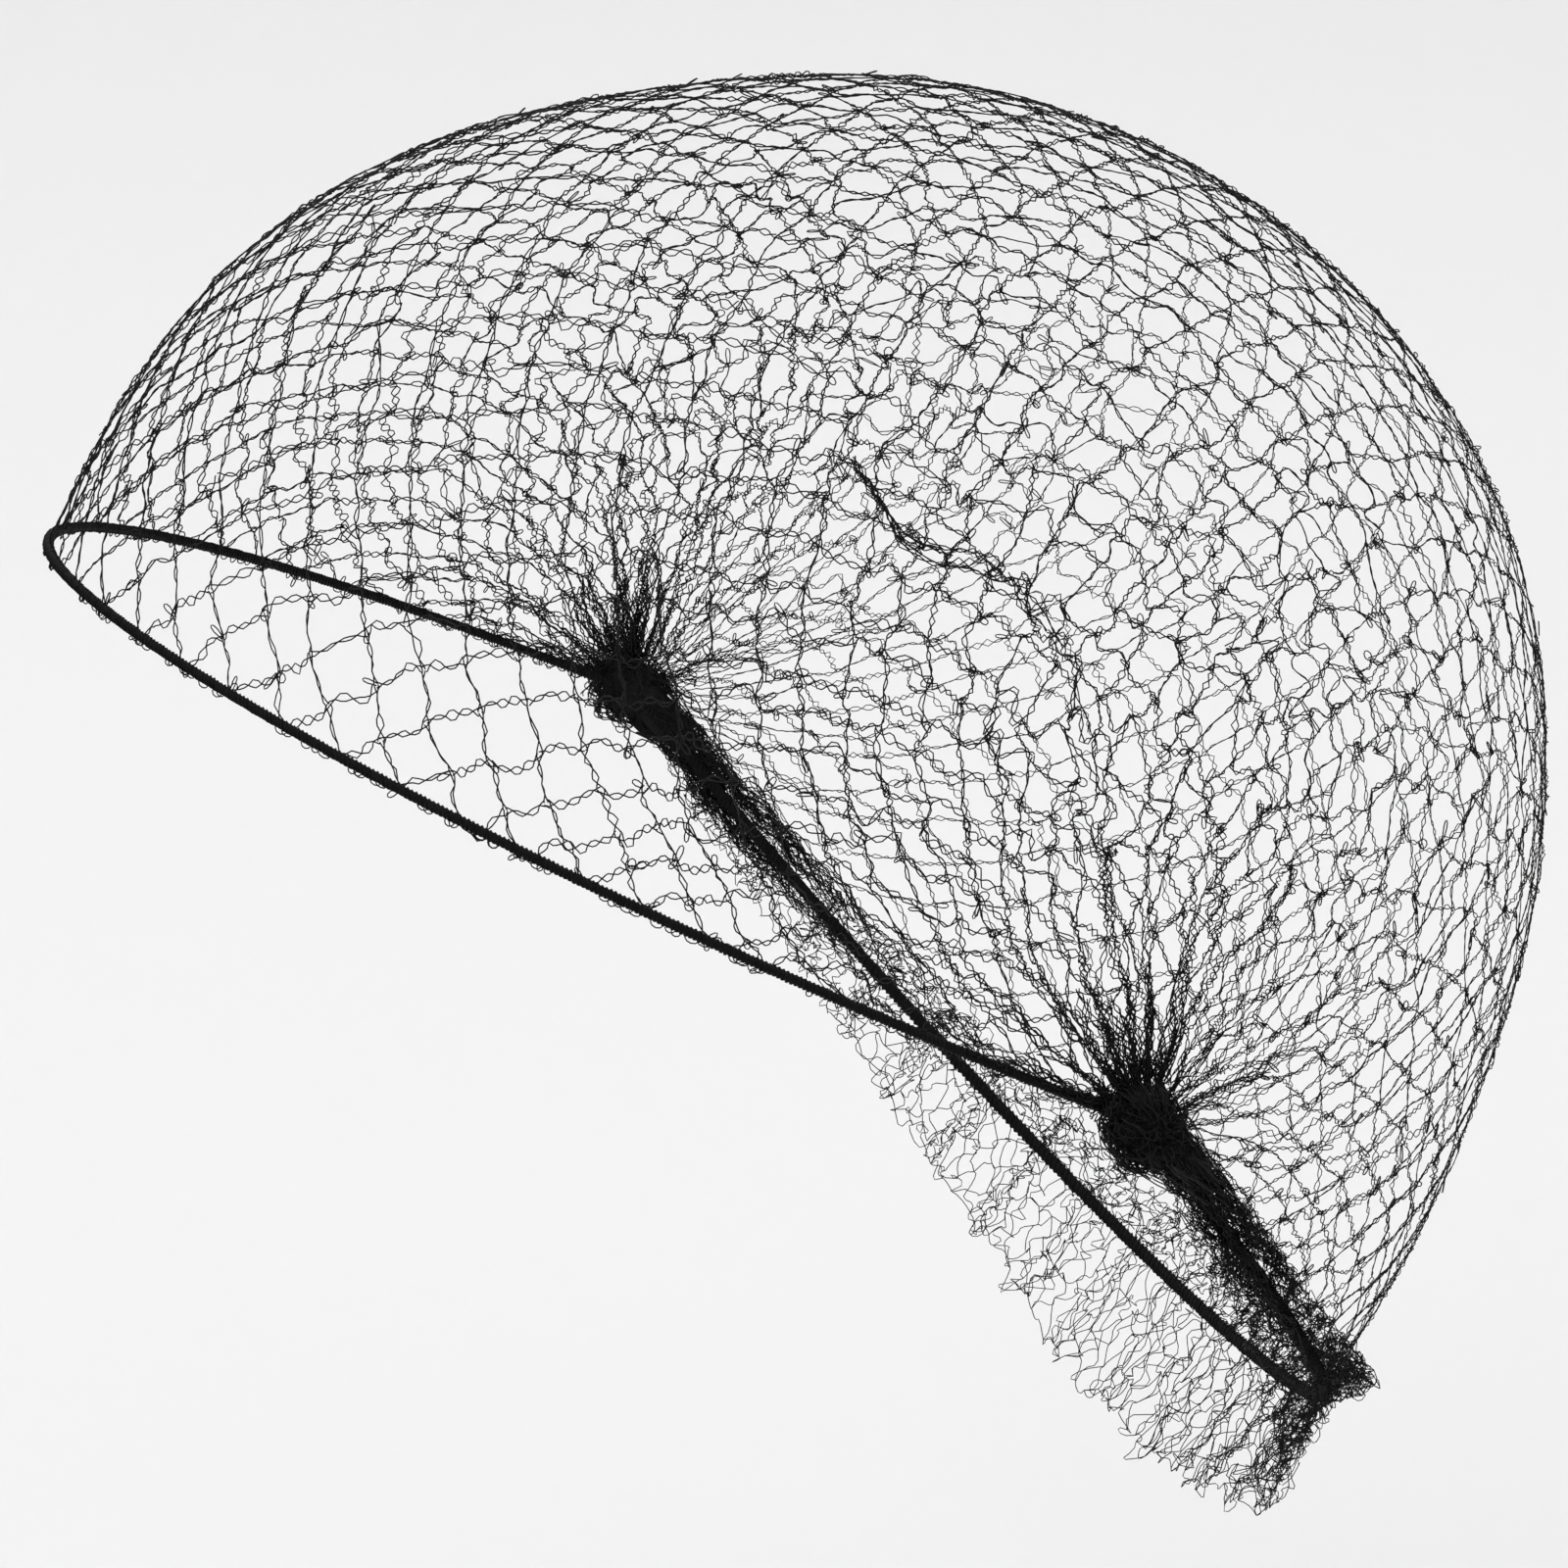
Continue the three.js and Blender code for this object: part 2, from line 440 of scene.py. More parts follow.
    def tilt_along(self, angle: float, share: Array, end_tilt: float) -> Array:
        """Spaces tilts evenly by length along a meridian.

        Args:
            angle: the meridian's angle.
            share: shares of the way from the mid-plane to the end.
            end_tilt: the tilt at the end.

        Returns:
            The tilts.
        """
        tilts, lengths = self.meridian(angle, end_tilt)
        return np.interp(share * lengths[-1], lengths, tilts)


class StrandMesh:
    """Collects thin tubes from arrays of points and joins them into one mesh.

    Each tube has a patch of its own on the map, with its length across it, its girth up it, and its two
    end faces at the patch's sides. These are shares of the patch.
    """

    PATCH_MARGIN = 0.06
    END_GAP = 0.02
    END_HALF = (0.012, 0.3)

    def __init__(self, rng: np.random.Generator) -> None:
        """Starts with no tubes.

        Args:
            rng: the source of each strand's shade.
        """
        self.rng = rng
        self.vertices: list[Array] = []
        self.shades: list[Array] = []
        self.faces: list[Array] = []
        self.face_maps: list[Array] = []
        self.vertex_count = 0
        self.tube_count = 0

    def add(
        self,
        paths: Array,
        up: Array,
        radius: Array | float,
        sides: int = 3,
        closed: bool = False,
    ) -> None:
        """Adds one tube along each path.

        Args:
            paths: points of each tube, as tubes by steps by three.
            up: a direction that isn't along the paths, of a shape that fits them.
            radius: the tubes' radius.
            sides: how many sides the tubes have.
            closed: whether each path is a ring.
        """
        tubes, steps, _ = paths.shape
        if closed:
            ahead = np.roll(paths, -1, axis=1) - np.roll(paths, 1, axis=1)
        else:
            ahead = np.gradient(paths, axis=1)
        ahead = unit(ahead)
        side = unit(np.cross(ahead, np.broadcast_to(up, paths.shape)))
        over = np.cross(side, ahead)
        turn = 2 * np.pi * np.arange(sides) / sides
        ring = over[:, :, None] * np.cos(turn)[:, None] + side[:, :, None] * np.sin(turn)[:, None]
        thickness = np.broadcast_to(radius, (tubes, steps))[..., None, None]
        self.vertices.append((paths[:, :, None] + thickness * ring).reshape(-1, 3))
        self.shades.append(np.repeat(self.rng.random(tubes), steps * sides))

        index = self.vertex_count + np.arange(tubes * steps * sides).reshape(tubes, steps, sides)
        spans = steps if closed else steps - 1
        after = np.roll(index, -1, axis=1)[:, :spans]
        here = index[:, :spans]
        quads = np.stack([here, np.roll(here, -1, axis=2), np.roll(after, -1, axis=2), after], axis=-1)
        along = (np.arange(spans)[:, None] + np.array([0, 0, 1, 1])) / spans
        around = (np.arange(sides)[:, None] + np.array([0, 1, 1, 0])) / sides
        self.add_faces(quads, np.stack(np.broadcast_arrays(along[:, None], around[None]), axis=-1))
        if not closed:
            half_along, half_around = self.END_HALF
            rim = np.stack([half_along * np.cos(turn), 0.5 + half_around * np.sin(turn)], axis=-1)
            self.add_faces(index[:, None, 0, ::-1], rim[None, ::-1] + np.array([-self.END_GAP, 0.0]))
            self.add_faces(index[:, None, -1], rim[None] + np.array([1 + self.END_GAP, 0.0]))
        self.vertex_count += tubes * steps * sides
        self.tube_count += tubes

    def add_faces(self, corners: Array, places: Array) -> None:
        """Keeps faces, with their places on the tube's own patch of the map.

        Args:
            corners: vertex numbers, with tubes on the first axis and a face's corners on the last.
            places: each corner's share along and around its tube, alike for all tubes.
        """
        tubes, size = corners.shape[0], corners.shape[-1]
        patch = self.tube_count + np.arange(tubes)
        spot = np.broadcast_to(places.reshape(1, -1, size, 2), (tubes, corners[0].size // size, size, 2))
        number = np.broadcast_to(patch[:, None, None, None], spot.shape[:-1] + (1,))
        self.faces.append(corners.reshape(-1, size))
        self.face_maps.append(np.concatenate([number, spot], axis=-1).reshape(-1, 3))

    def build(self, name: str, material: bpy.types.Material) -> bpy.types.Object:
        """Makes the joined mesh and its object.

        Args:
            name: the piece's name.
            material: its finish.

        Returns:
            The new object, with a map that has one patch for each tube.
        """
        mesh = bpy.data.meshes.new(name)
        mesh.vertices.add(self.vertex_count)
        mesh.vertices.foreach_set("co", (np.concatenate(self.vertices) * MM).astype(np.float32).ravel())
        sizes = np.concatenate([np.full(len(faces), faces.shape[1]) for faces in self.faces])
        mesh.loops.add(int(sizes.sum()))
        corners = np.concatenate([faces.ravel() for faces in self.faces])
        mesh.loops.foreach_set("vertex_index", corners.astype(np.int32))
        mesh.polygons.add(len(sizes))
        starts = np.concatenate([[0], np.cumsum(sizes)[:-1]])
        mesh.polygons.foreach_set("loop_start", starts.astype(np.int32))
        mesh.polygons.foreach_set("use_smooth", np.ones(len(sizes), bool))
        mesh.update(calc_edges=True)

        patch, along, around = np.concatenate(self.face_maps).T
        grid = math.ceil(math.sqrt(self.tube_count))
        margin, inside = self.PATCH_MARGIN, 1 - 2 * self.PATCH_MARGIN
        across = (patch % grid + margin + inside * along) / grid
        upward = (patch // grid + margin + inside * around) / grid
        layer = mesh.uv_layers.new(name="OFBake")
        layer.data.foreach_set("uv", np.stack([across, upward], -1).astype(np.float32).ravel())
        shade = mesh.attributes.new("yarn_shade", "FLOAT", "POINT")
        shade.data.foreach_set("value", np.concatenate(self.shades).astype(np.float32))
        return add_object(mesh, material)


@dataclass(frozen=True)
class Yarn:
    """The net's yarn and its chain stitch: two strands that cross between open eyelets.

    The yarn is a tenth of a millimetre thick. It is drawn about twice that, as coarse as it needs to show.
    """

    radius: float = 0.094
    wide: float = 0.5
    narrow: float = 0.15
    turn_spread: float = 1.2
    few_eyelets: int = 4
    # Textured yarn thins where it is drawn out: its thickness at the front and behind, between two angles
    thinning: Span = (1.06, 0.8)
    thinned: Span = (80.0, 25.0)

    def radius_at(self, angle: Array | float) -> Array | float:
        """Gives the yarn's radius at angles about the ear line."""
        return self.radius * mix(*self.thinning, smooth(*self.thinned, angle))

    def shares(self, eyelets: int) -> Array:
        """Gives a bar's points: both ends, the crossings and the open eyelets between them.

        Args:
            eyelets: how many eyelets the bar has, its two end halves counted as one.

        Returns:
            The points' shares of the way along the bar. An eyelet has two points where the bar has a few
            long ones, and one where it has many short ones.
        """
        if eyelets > self.few_eyelets:
            return np.arange(2 * eyelets + 1) / (2 * eyelets)
        inner = (np.arange(3 * eyelets) / 3 + 1 / 6) / eyelets
        return np.concatenate([[0.0], inner, [1.0]])

    def chain(self, spines: Array, up: Array, widths: Array, turns: Array) -> Array:
        """Lays a chain of eyelets along each spine.

        Args:
            spines: points of each bar at the yarn's shares.
            up: the direction out of the net at each point.
            widths: half the width of each eyelet, one more than the bar has, as both end halves count.
            turns: how far the chain is turned about the bar at its start and its end.

        Returns:
            The paths of both strands of every bar.
        """
        eyelets = widths.shape[1] - 1
        share = self.shares(eyelets)
        side = unit(np.cross(unit(np.gradient(spines, axis=1)), up))
        swing = np.cos(np.pi * eyelets * share) * widths[:, np.rint(eyelets * share).astype(int)]
        turn = mix(turns[:, :1], turns[:, 1:], share)
        reach = side * np.cos(turn)[..., None] + up * np.sin(turn)[..., None]
        offset = reach * swing[..., None]
        return np.concatenate([spines + offset, spines - offset])

    def loose_chain(self, spines: Array, up: Array, eyelets: int, rng: np.random.Generator) -> Array:
        """Lays chains with eyelets of any width and turn.

        Args:
            spines: points of each bar at the yarn's shares.
            up: the direction out of the net at each point.
            eyelets: how many eyelets each bar has.
            rng: the source of the widths and turns.

        Returns:
            The paths of both strands of every bar.
        """
        widths = rng.uniform(self.narrow, self.wide, (len(spines), eyelets + 1))
        return self.chain(spines, up, widths, rng.normal(0, self.turn_spread, (len(spines), 2)))


@dataclass(frozen=True)
class Stitches:
    """The eyelets of the net's bars: long and open at the front, short and fine behind.

    A count is the least that a bar has, and the share of bars with one more. A size is a coarse bar's, a
    fine bar's, and the most that chance adds. One family of bars is tighter than the other.
    """

    fine_angles: Span = (128.0, 92.0)
    fine_count: tuple[int, float] = (4, 0.6)
    tight_count: tuple[int, float] = (2, 0.8)
    loose_count: tuple[int, float] = (3, 0.65)
    tight_size: tuple[float, float, float] = (0.48, 0.5, 0.45)
    loose_size: tuple[float, float, float] = (0.95, 0.68, 0.35)
    eyelet_width: Span = (0.3, 1.15)
    knot_width: Span = (0.45, 1.0)
    knot_turn: float = 0.5
    tight_half_turns: tuple[int, ...] = (-1, 0, 0, 1)


@dataclass(frozen=True)
class Bends:
    """How the net's bars bend: by shares of the length to spare, and by least lengths."""

    stretch: float = 1.01
    most: float = 2.6
    # Shares in the smooth net and the slack net, and at the bunch and away from it, between two radii
    slack: Span = (0.25, 0.6)
    drawn: Span = (0.35, 1.0)
    drawn_radii: Span = (12.0, 45.0)
    bow: float = 0.75
    wave: float = 0.45
    rise: float = 0.3
    least_bow: float = 0.2
    least_wave: float = 0.16
    kink: float = 0.16
    jag: float = 0.06
    jag_ends: float = 12.0
    tight: float = 0.5
    loose: float = 1.25


@dataclass(frozen=True)
class KnotLoops:
    """The round stitches that tie the knots, and the hairpin picots beside them."""

    # Share of the knots that have a ring, in the smooth net and the slack net
    ring_share: Span = (0.18, 0.42)
    ring_points: int = 8
    ring_half: Span = (0.45, 0.75)
    ring_flattened: Span = (0.5, 0.85)
    ring_tip: float = 0.45
    ring_off: Span = (0.3, 0.7)
    picot_share: float = 0.4
    picot_points: int = 7
    picot_length: Span = (1.1, 2.4)
    picot_half: Span = (0.22, 0.4)
    picot_rise: Span = (0.0, 0.3)
    picot_off: float = 0.12
    picot_round: float = 0.7
    picot_neck: float = 0.45
    picot_swell: float = 0.9


@dataclass
class CrownNet:
    """The open net: knots on a diamond lattice, joined by chain-stitch bars."""

    head: HeadForm
    yarn: Yarn
    rng: np.random.Generator
    stitches: Stitches = Stitches()
    bends: Bends = Bends()
    loops: KnotLoops = KnotLoops()
    columns: int = 66
    half_rows: int = 38
    bar_length: float = 7.2
    lift: float = 0.55
    mouth_radius: float = 4.5
    # Between these shares of the columns the net opens out, past so many rows from the mid-plane, to this
    # width of half a cell. What then runs into the bunch or the ruffle is part of those.
    opens: Span = (0.5, 0.92)
    even_rows: int = 5
    rear_width: float = 5.2
    ruffle_edge: float = 3.0
    rounds: int = 160
    evening: float = 0.12
    # The net is slackest on the upper back of the sides, between these angles and tilts
    slack_angles: tuple[Span, Span] = ((125.0, 95.0), (-10.0, 35.0))
    slack_tilts: tuple[Span, Span] = ((25.0, 48.0), (82.0, 66.0))
    scattered: Span = (0.42, 0.95)
    edge_scatter: float = 0.2
    # The pinched fold on the left side, as angle and tilt from its top down to the bunch
    crease: tuple[Span, ...] = (
        (108.5, 42), (108, 48.5), (103, 51), (99, 52.5), (97, 56.5), (94, 59), (95, 65), (95, 72),
        (94, 80),
    )
    # How hard the fold pulls at its top and below, between two shares of it, and how far it reaches
    crease_pull: Span = (0.85, 0.4)
    crease_eases: Span = (0.12, 0.3)
    crease_half: float = 4.4
    crease_lift: float = 0.4
    crease_points: int = 80
    # First and last share of the fold, and place beside it, for each chain: most lie along its top
    crease_chains: tuple[tuple[float, float, float], ...] = (
        (0.0, 0.13, 0.0), (0.0, 0.15, 0.35), (0.0, 0.17, -0.35), (0.02, 0.22, 0.2),
        (0.1, 0.34, 1.3), (0.12, 0.38, 1.0), (0.12, 0.34, -1.1), (0.3, 0.5, 0.6),
        (0.36, 0.56, -0.2), (0.5, 0.72, 0.3),
    )
    chain_eyelets: int = 8
    chain_points: int = 200
    chain_sway: Span = (0.4, 1.2)
    chain_waves: Span = (20, 60)
    chain_rise: float = 0.4
    # Angles at which the strands leave the bunches in bundles, and how far from a bunch they gather
    bundles: tuple[float, ...] = (147, 136, 123, 110, 98, 86, 72, 14)
    bundle_half: float = 10.0
    bundle_pull: float = 0.75
    bundle_rise: float = 1.6
    bundle_radii: Span = (46.0, 14.0)
    pieces: tuple[str, ...] = ("net_front", "net_crown", "net_rear", "net_nape")
    knots: Array = field(init=False)
    bars: Array = field(init=False)
    column: Array = field(init=False)
    row: Array = field(init=False)
    rolled: Array = field(init=False)

    def lay_out(self) -> None:
        """Places the knots, evens them out, and draws them together at the bunches and the fold."""
        grid = np.arange((self.columns + 1) * (2 * self.half_rows + 1))
        column, row = np.divmod(grid, 2 * self.half_rows + 1)
        row = row - self.half_rows
        is_knot = (column + row) % 2 == 0
        number = np.full(grid.shape, -1)
        number[is_knot] = np.arange(is_knot.sum())
        number = number.reshape(self.columns + 1, -1)
        self.column, self.row = column[is_knot], row[is_knot]
        bars = []
        for step in (-1, 1):
            at = (self.column < self.columns) & (np.abs(self.row + step) <= self.half_rows)
            ends = number[self.column[at] + 1, self.row[at] + step + self.half_rows]
            bars.append(np.stack([np.flatnonzero(at), ends], axis=-1))
        self.bars = np.concatenate(bars)
        self.knots = self.first_places()
        self.bars = self.bars[~self.rolled[self.bars].all(axis=1)]
        self.relax()
        self.scatter()
        self.draw_together()

    def first_places(self) -> Array:
        """Spaces the knots along meridians from the mid-plane to the bunches, and notes the rolled ones.

        Returns:
            The knots' first places.
        """
        head = self.head
        knots = np.zeros((len(self.column), 3))
        self.rolled = np.zeros(len(self.column), bool)
        for column in range(self.columns + 1):
            share = column / self.columns
            angle = head.angle_along(share)
            reach = float(head.reach(np.array(angle)))
            tilts, lengths = head.meridian(angle, math.degrees(math.acos(self.mouth_radius / reach)))
            even_width = lengths[-1] / self.half_rows
            width = mix(even_width, self.rear_width, smooth(*self.opens, share))
            here = self.column == column
            row = np.abs(self.row[here])
            even_rows = np.minimum(row, self.even_rows)
            length = even_width * even_rows + width * (row - even_rows)
            tilt = np.interp(length, lengths, tilts)
            above = math.radians(angle - head.nape_angle) * reach * np.cos(np.radians(tilt))
            self.rolled[here] = (length > lengths[-1] + 0.5 * width) | (above < self.ruffle_edge)
            knots[here] = head.point(np.full(tilt.shape, angle), np.sign(self.row[here]) * tilt, self.lift)
        return knots

    def relax(self) -> None:
        """Shortens bars that are too long and evens out the rest, with the edges held."""
        held = (self.column == 0) | (self.column == self.columns) | (np.abs(self.row) == self.half_rows)
        held = held | self.rolled
        first, last = self.bars.T
        meeting = np.maximum(np.bincount(self.bars.ravel(), minlength=len(self.knots)), 1)[:, None]
        for _ in range(self.rounds):
            span = self.knots[last] - self.knots[first]
            length = np.linalg.norm(span, axis=1, keepdims=True)
            pull = span * (0.5 * np.maximum(length - self.bar_length, 0) / length + 0.5 * self.evening)
            move = np.zeros_like(self.knots)
            np.add.at(move, first, pull)
            np.add.at(move, last, -pull)
            move[held] = 0
            self.knots = self.head.settle(self.knots + move * 2 / meeting, self.lift)

    def slackness(self) -> Array:
        """Tells where the net is slack.

        Returns:
            Each knot's slackness, from 0 to 1.
        """
        _, _, angle = self.head.from_ears(self.knots)
        tilt = self.tilts()
        (front, rear), (inner, outer) = self.slack_angles, self.slack_tilts
        behind = smooth(*front, angle) * smooth(*rear, angle)
        return behind * smooth(*inner, tilt) * smooth(*outer, tilt)

    def tilts(self) -> Array:
        """Gives each knot's tilt, without its side."""
        return np.degrees(np.arcsin(np.clip(np.abs(self.knots[:, 0]) / self.head.half_width, 0, 1)))

    def scatter(self) -> None:
        """Moves the knots a little along the hollow, more where the net is slack."""
        spread = mix(*self.scattered, self.slackness())
        move = self.rng.normal(0, 1, self.knots.shape) * spread[:, None]
        move[self.column == 0] *= self.edge_scatter
        self.knots = self.head.settle(self.knots + move, self.lift)

    def draw_together(self) -> None:
        """Bundles the strands round the bunches and pinches the net along the fold."""
        head = self.head
        _, radius, angle = head.from_ears(self.knots)
        near = smooth(*self.bundle_radii, radius)
        gap = np.array(self.bundles)[None] - angle[:, None]
        nearest = np.take_along_axis(gap, np.abs(gap).argmin(axis=1)[:, None], axis=1)[:, 0]
        falloff = np.exp(-((nearest / self.bundle_half) ** 2))
        angle = angle + self.bundle_pull * near * nearest * falloff
        tilt = np.sign(self.knots[:, 0]) * self.tilts()
        lift = self.lift + near * self.rng.uniform(0, self.bundle_rise, len(angle))
        drawn = head.point(angle, tilt, lift)
        self.knots = np.where((near > 0)[:, None], drawn, self.knots)

        fold = self.fold_line(self.crease_points)
        gap = np.linalg.norm(self.knots[:, None] - fold[None], axis=-1)
        nearest, distance = gap.argmin(axis=1), gap.min(axis=1)
        falloff = np.exp(-((distance / self.crease_half) ** 2))
        pull = mix(*self.crease_pull, smooth(*self.crease_eases, nearest / len(fold))) * falloff
        self.knots = mix(self.knots, fold[nearest], pull[:, None])

    def spines(self, chosen: Array, eyelets: int) -> tuple[Array, Array]:
        """Bends each bar by the length that it has to spare.

        Args:
            chosen: numbers of the bars.
            eyelets: how many eyelets each has.

        Returns:
            The bars' points, and the outward directions there.
        """
        bends = self.bends
        start, end = (self.knots[self.bars[chosen, k]] for k in (0, 1))
        span = end - start
        length = np.linalg.norm(span, axis=1)
        spare = 0.5 * np.sqrt(np.maximum((self.bar_length * bends.stretch) ** 2 - length**2, 0))
        slack = self.slackness()[self.bars[chosen]].mean(axis=1)
        _, radius, _ = self.head.from_ears(0.5 * (start + end))
        loose = mix(*bends.slack, slack) * mix(*bends.drawn, smooth(*bends.drawn_radii, radius))
        size = np.minimum(spare, bends.most) * loose
        out = self.head.outward(0.5 * (start + end))
        side = unit(np.cross(span, out))
        share = self.yarn.shares(eyelets)[None, :, None]
        spreads = (bends.bow, bends.wave, bends.rise)
        bow, wave, rise = (self.rng.normal(0, spread, len(chosen)) for spread in spreads)
        wavy = np.where(self.is_tight(chosen), bends.tight, bends.loose)
        bend, ripple = (
            wavy[:, None] * (size * shape + self.rng.normal(0, least, len(chosen)))[:, None] * side
            for shape, least in ((bow, bends.least_bow), (wave, bends.least_wave))
        )
        kink = (wavy * self.rng.normal(0, bends.kink, len(chosen)))[:, None] * side
        jag = self.rng.normal(0, bends.jag, (len(chosen), share.shape[1], 1))
        jag = jag * np.minimum(bends.jag_ends * share * (1 - share), 1)
        hump = np.abs(size * rise)[:, None] * out
        points = (
            start[:, None]
            + span[:, None] * share
            + (bend + hump)[:, None] * 4 * share * (1 - share)
            + ripple[:, None] * np.sin(2 * np.pi * share)
            + kink[:, None] * np.sin(3 * np.pi * share)
            + side[:, None] * jag
        )
        return points, self.head.outward(points)

    def build(self, material: bpy.types.Material) -> None:
        """Makes the bars in bands from the front edge to the nape, and the loops at the knots.

        Args:
            material: the yarn's finish.
        """
        self.lay_out()
        stitches = self.stitches
        band = self.column[self.bars[:, 0]] * len(self.pieces) // (self.columns + 1)
        eyelets, fine = self.stitch_counts()
        # The chain runs on through a knot, so both bars of a family share its width and turn there
        families = 2
        knot_width = self.rng.uniform(*stitches.knot_width, (families, len(self.knots)))
        knot_turn = self.rng.normal(0, stitches.knot_turn, (families, len(self.knots)))
        for k, name in enumerate(self.pieces):
            strands = StrandMesh(self.rng)
            for count in np.unique(eyelets[band == k]):
                chosen = np.flatnonzero((band == k) & (eyelets == count))
                points, up = self.spines(chosen, count)
                tight = self.is_tight(chosen)
                family = tight.astype(int)[:, None]
                ends = self.bars[chosen]
                widths = self.rng.uniform(*stitches.eyelet_width, (len(chosen), count + 1))
                widths[:, [0, -1]] = knot_width[family, ends]
                slim, open_up = (
                    mix(coarse_size, fine_size, fine[chosen]) + self.rng.uniform(0, chance, len(chosen))
                    for coarse_size, fine_size, chance in (stitches.tight_size, stitches.loose_size)
                )
                size = np.where(tight, slim, open_up)
                half_turns = np.where(tight, self.rng.choice(stitches.tight_half_turns, len(chosen)), 0)
                turns = knot_turn[family, ends]
                turns[:, 1] += np.pi * half_turns
                paths = self.yarn.chain(points, up, self.yarn.wide * widths * size[:, None], turns)
                _, _, angle = self.head.from_ears(paths.mean(axis=1))
                strands.add(paths, np.concatenate([up, up]), self.yarn.radius_at(angle)[:, None])
            enlist(strands.build(name, material), Slot.NET, "crown_net")
        strands = StrandMesh(self.rng)
        self.add_rings(strands)
        self.add_picots(strands)
        self.add_fold(strands)
        enlist(strands.build("net_knots", material), Slot.NET, "crown_net")

    def stitch_counts(self) -> tuple[Array, Array]:
        """Chooses how many eyelets each bar has: few long ones at the front, more short ones behind.

        Returns:
            Each bar's count, and whether it is one of the finely stitched bars.
        """
        stitches = self.stitches
        _, _, angle = self.head.from_ears(self.knots[self.bars].mean(axis=1))
        is_fine = self.rng.random(len(self.bars)) < smooth(*stitches.fine_angles, angle)
        draw = self.rng.random(len(self.bars))
        fine, tight, loose = (
            least + (draw < more)
            for least, more in (stitches.fine_count, stitches.tight_count, stitches.loose_count)
        )
        coarse = np.where(self.is_tight(np.arange(len(self.bars))), tight, loose)
        return np.where(is_fine, fine, coarse), is_fine

    def is_tight(self, chosen: Array) -> Array:
        """Tells which bars are of the straighter, tighter family of strands."""
        return self.row[self.bars[chosen, 1]] < self.row[self.bars[chosen, 0]]

    def fold_line(self, steps: int) -> Array:
        """Gives points along the pinched fold.

        Args:
            steps: how many points.

        Returns:
            The points, a little above the net.
        """
        corners = np.array(self.crease)
        place = np.linspace(0, len(corners) - 1, steps)
        angle, tilt = (np.interp(place, np.arange(len(corners)), values) for values in corners.T)
        return self.head.point(angle, tilt, self.lift + self.crease_lift)

    def add_fold(self, strands: StrandMesh) -> None:
        """Adds the chains that the fold presses together, side by side.

        Args:
            strands: the mesh that gets them.
        """
        line = self.fold_line(self.chain_points)
        places = np.arange(len(line)) / (len(line) - 1)
        along = self.yarn.shares(self.chain_eyelets)
        for first, last, beside in self.crease_chains:
            share = mix(first, last, along)
            spine = np.stack([np.interp(share, places, axis) for axis in line.T], axis=-1)
            up = self.head.outward(spine)
            side = unit(np.cross(np.gradient(spine, axis=0), up))
            wave = np.sin(self.rng.uniform(0, PHASES) + self.rng.uniform(*self.chain_waves) * share)
            sway = beside + mix(*self.chain_sway, first) * wave
            sway = sway * np.sqrt(np.sin(np.pi * along))
            spine = spine + side * sway[:, None] + up * self.rng.uniform(0, self.chain_rise)
            paths = self.yarn.loose_chain(spine[None], up[None], self.chain_eyelets, self.rng)
            strands.add(paths, np.stack([up, up]), self.yarn.radius)

    def frames(self, chosen: Array) -> tuple[Array, Array, Array]:
        """Gives directions at some knots.

        Args:
            chosen: numbers of the knots.

        Returns:
            The direction out of the net, and two random ones along it, square to each other.
        """
        out = self.head.outward(self.knots[chosen])
        ahead = unit(np.cross(out, self.rng.normal(0, 1, out.shape)))
        return out, ahead, np.cross(out, ahead)

    def add_rings(self, strands: StrandMesh) -> None:
        """Adds the round stitch that ties the bars together, at some of the knots.

        Args:
            strands: the mesh that gets the rings.
        """
        loops = self.loops
        looped = self.rng.random(len(self.knots)) < mix(*loops.ring_share, self.slackness())
        chosen = np.flatnonzero(looped & ~self.rolled)
        out, ahead, across = self.frames(chosen)
        turn = (2 * np.pi * np.arange(loops.ring_points) / loops.ring_points)[None, :, None]
        wide = self.rng.uniform(*loops.ring_half, len(chosen))[:, None, None]
        narrow = wide * self.rng.uniform(*loops.ring_flattened, wide.shape)
        tip = self.rng.normal(0, loops.ring_tip, wide.shape)
        middle = self.knots[chosen] + ahead * self.rng.uniform(*loops.ring_off, (len(chosen), 1))
        paths = (
            middle[:, None]
            + ahead[:, None] * wide * np.cos(turn)
            + (across[:, None] * np.cos(tip) + out[:, None] * np.sin(tip)) * narrow * np.sin(turn)
        )
        strands.add(paths, out[:, None], self.yarn.radius, closed=True)

    def add_picots(self, strands: StrandMesh) -> None:
        """Adds the narrow hairpin loops that stand out beside some of the knots.

        Args:
            strands: the mesh that gets the picots.
        """
        loops = self.loops
        chosen = np.flatnonzero((self.rng.random(len(self.knots)) < loops.picot_share) & ~self.rolled)
        out, ahead, across = self.frames(chosen)
        turn = np.linspace(0, np.pi, loops.picot_points)[None, :, None]
        long = self.rng.uniform(*loops.picot_length, len(chosen))[:, None, None]
        half = self.rng.uniform(*loops.picot_half, long.shape)
        rise = self.rng.uniform(*loops.picot_rise, long.shape)
        base = self.knots[chosen] + self.rng.normal(0, loops.picot_off, out.shape)
        reach = np.sin(turn) ** loops.picot_round
        girth = loops.picot_neck + loops.picot_swell * reach
        paths = (
            base[:, None]
            + (ahead[:, None] * np.cos(rise) + out[:, None] * np.sin(rise)) * long * reach
            + across[:, None] * half * np.cos(turn) * girth
        )
        strands.add(paths, out[:, None], self.yarn.radius)


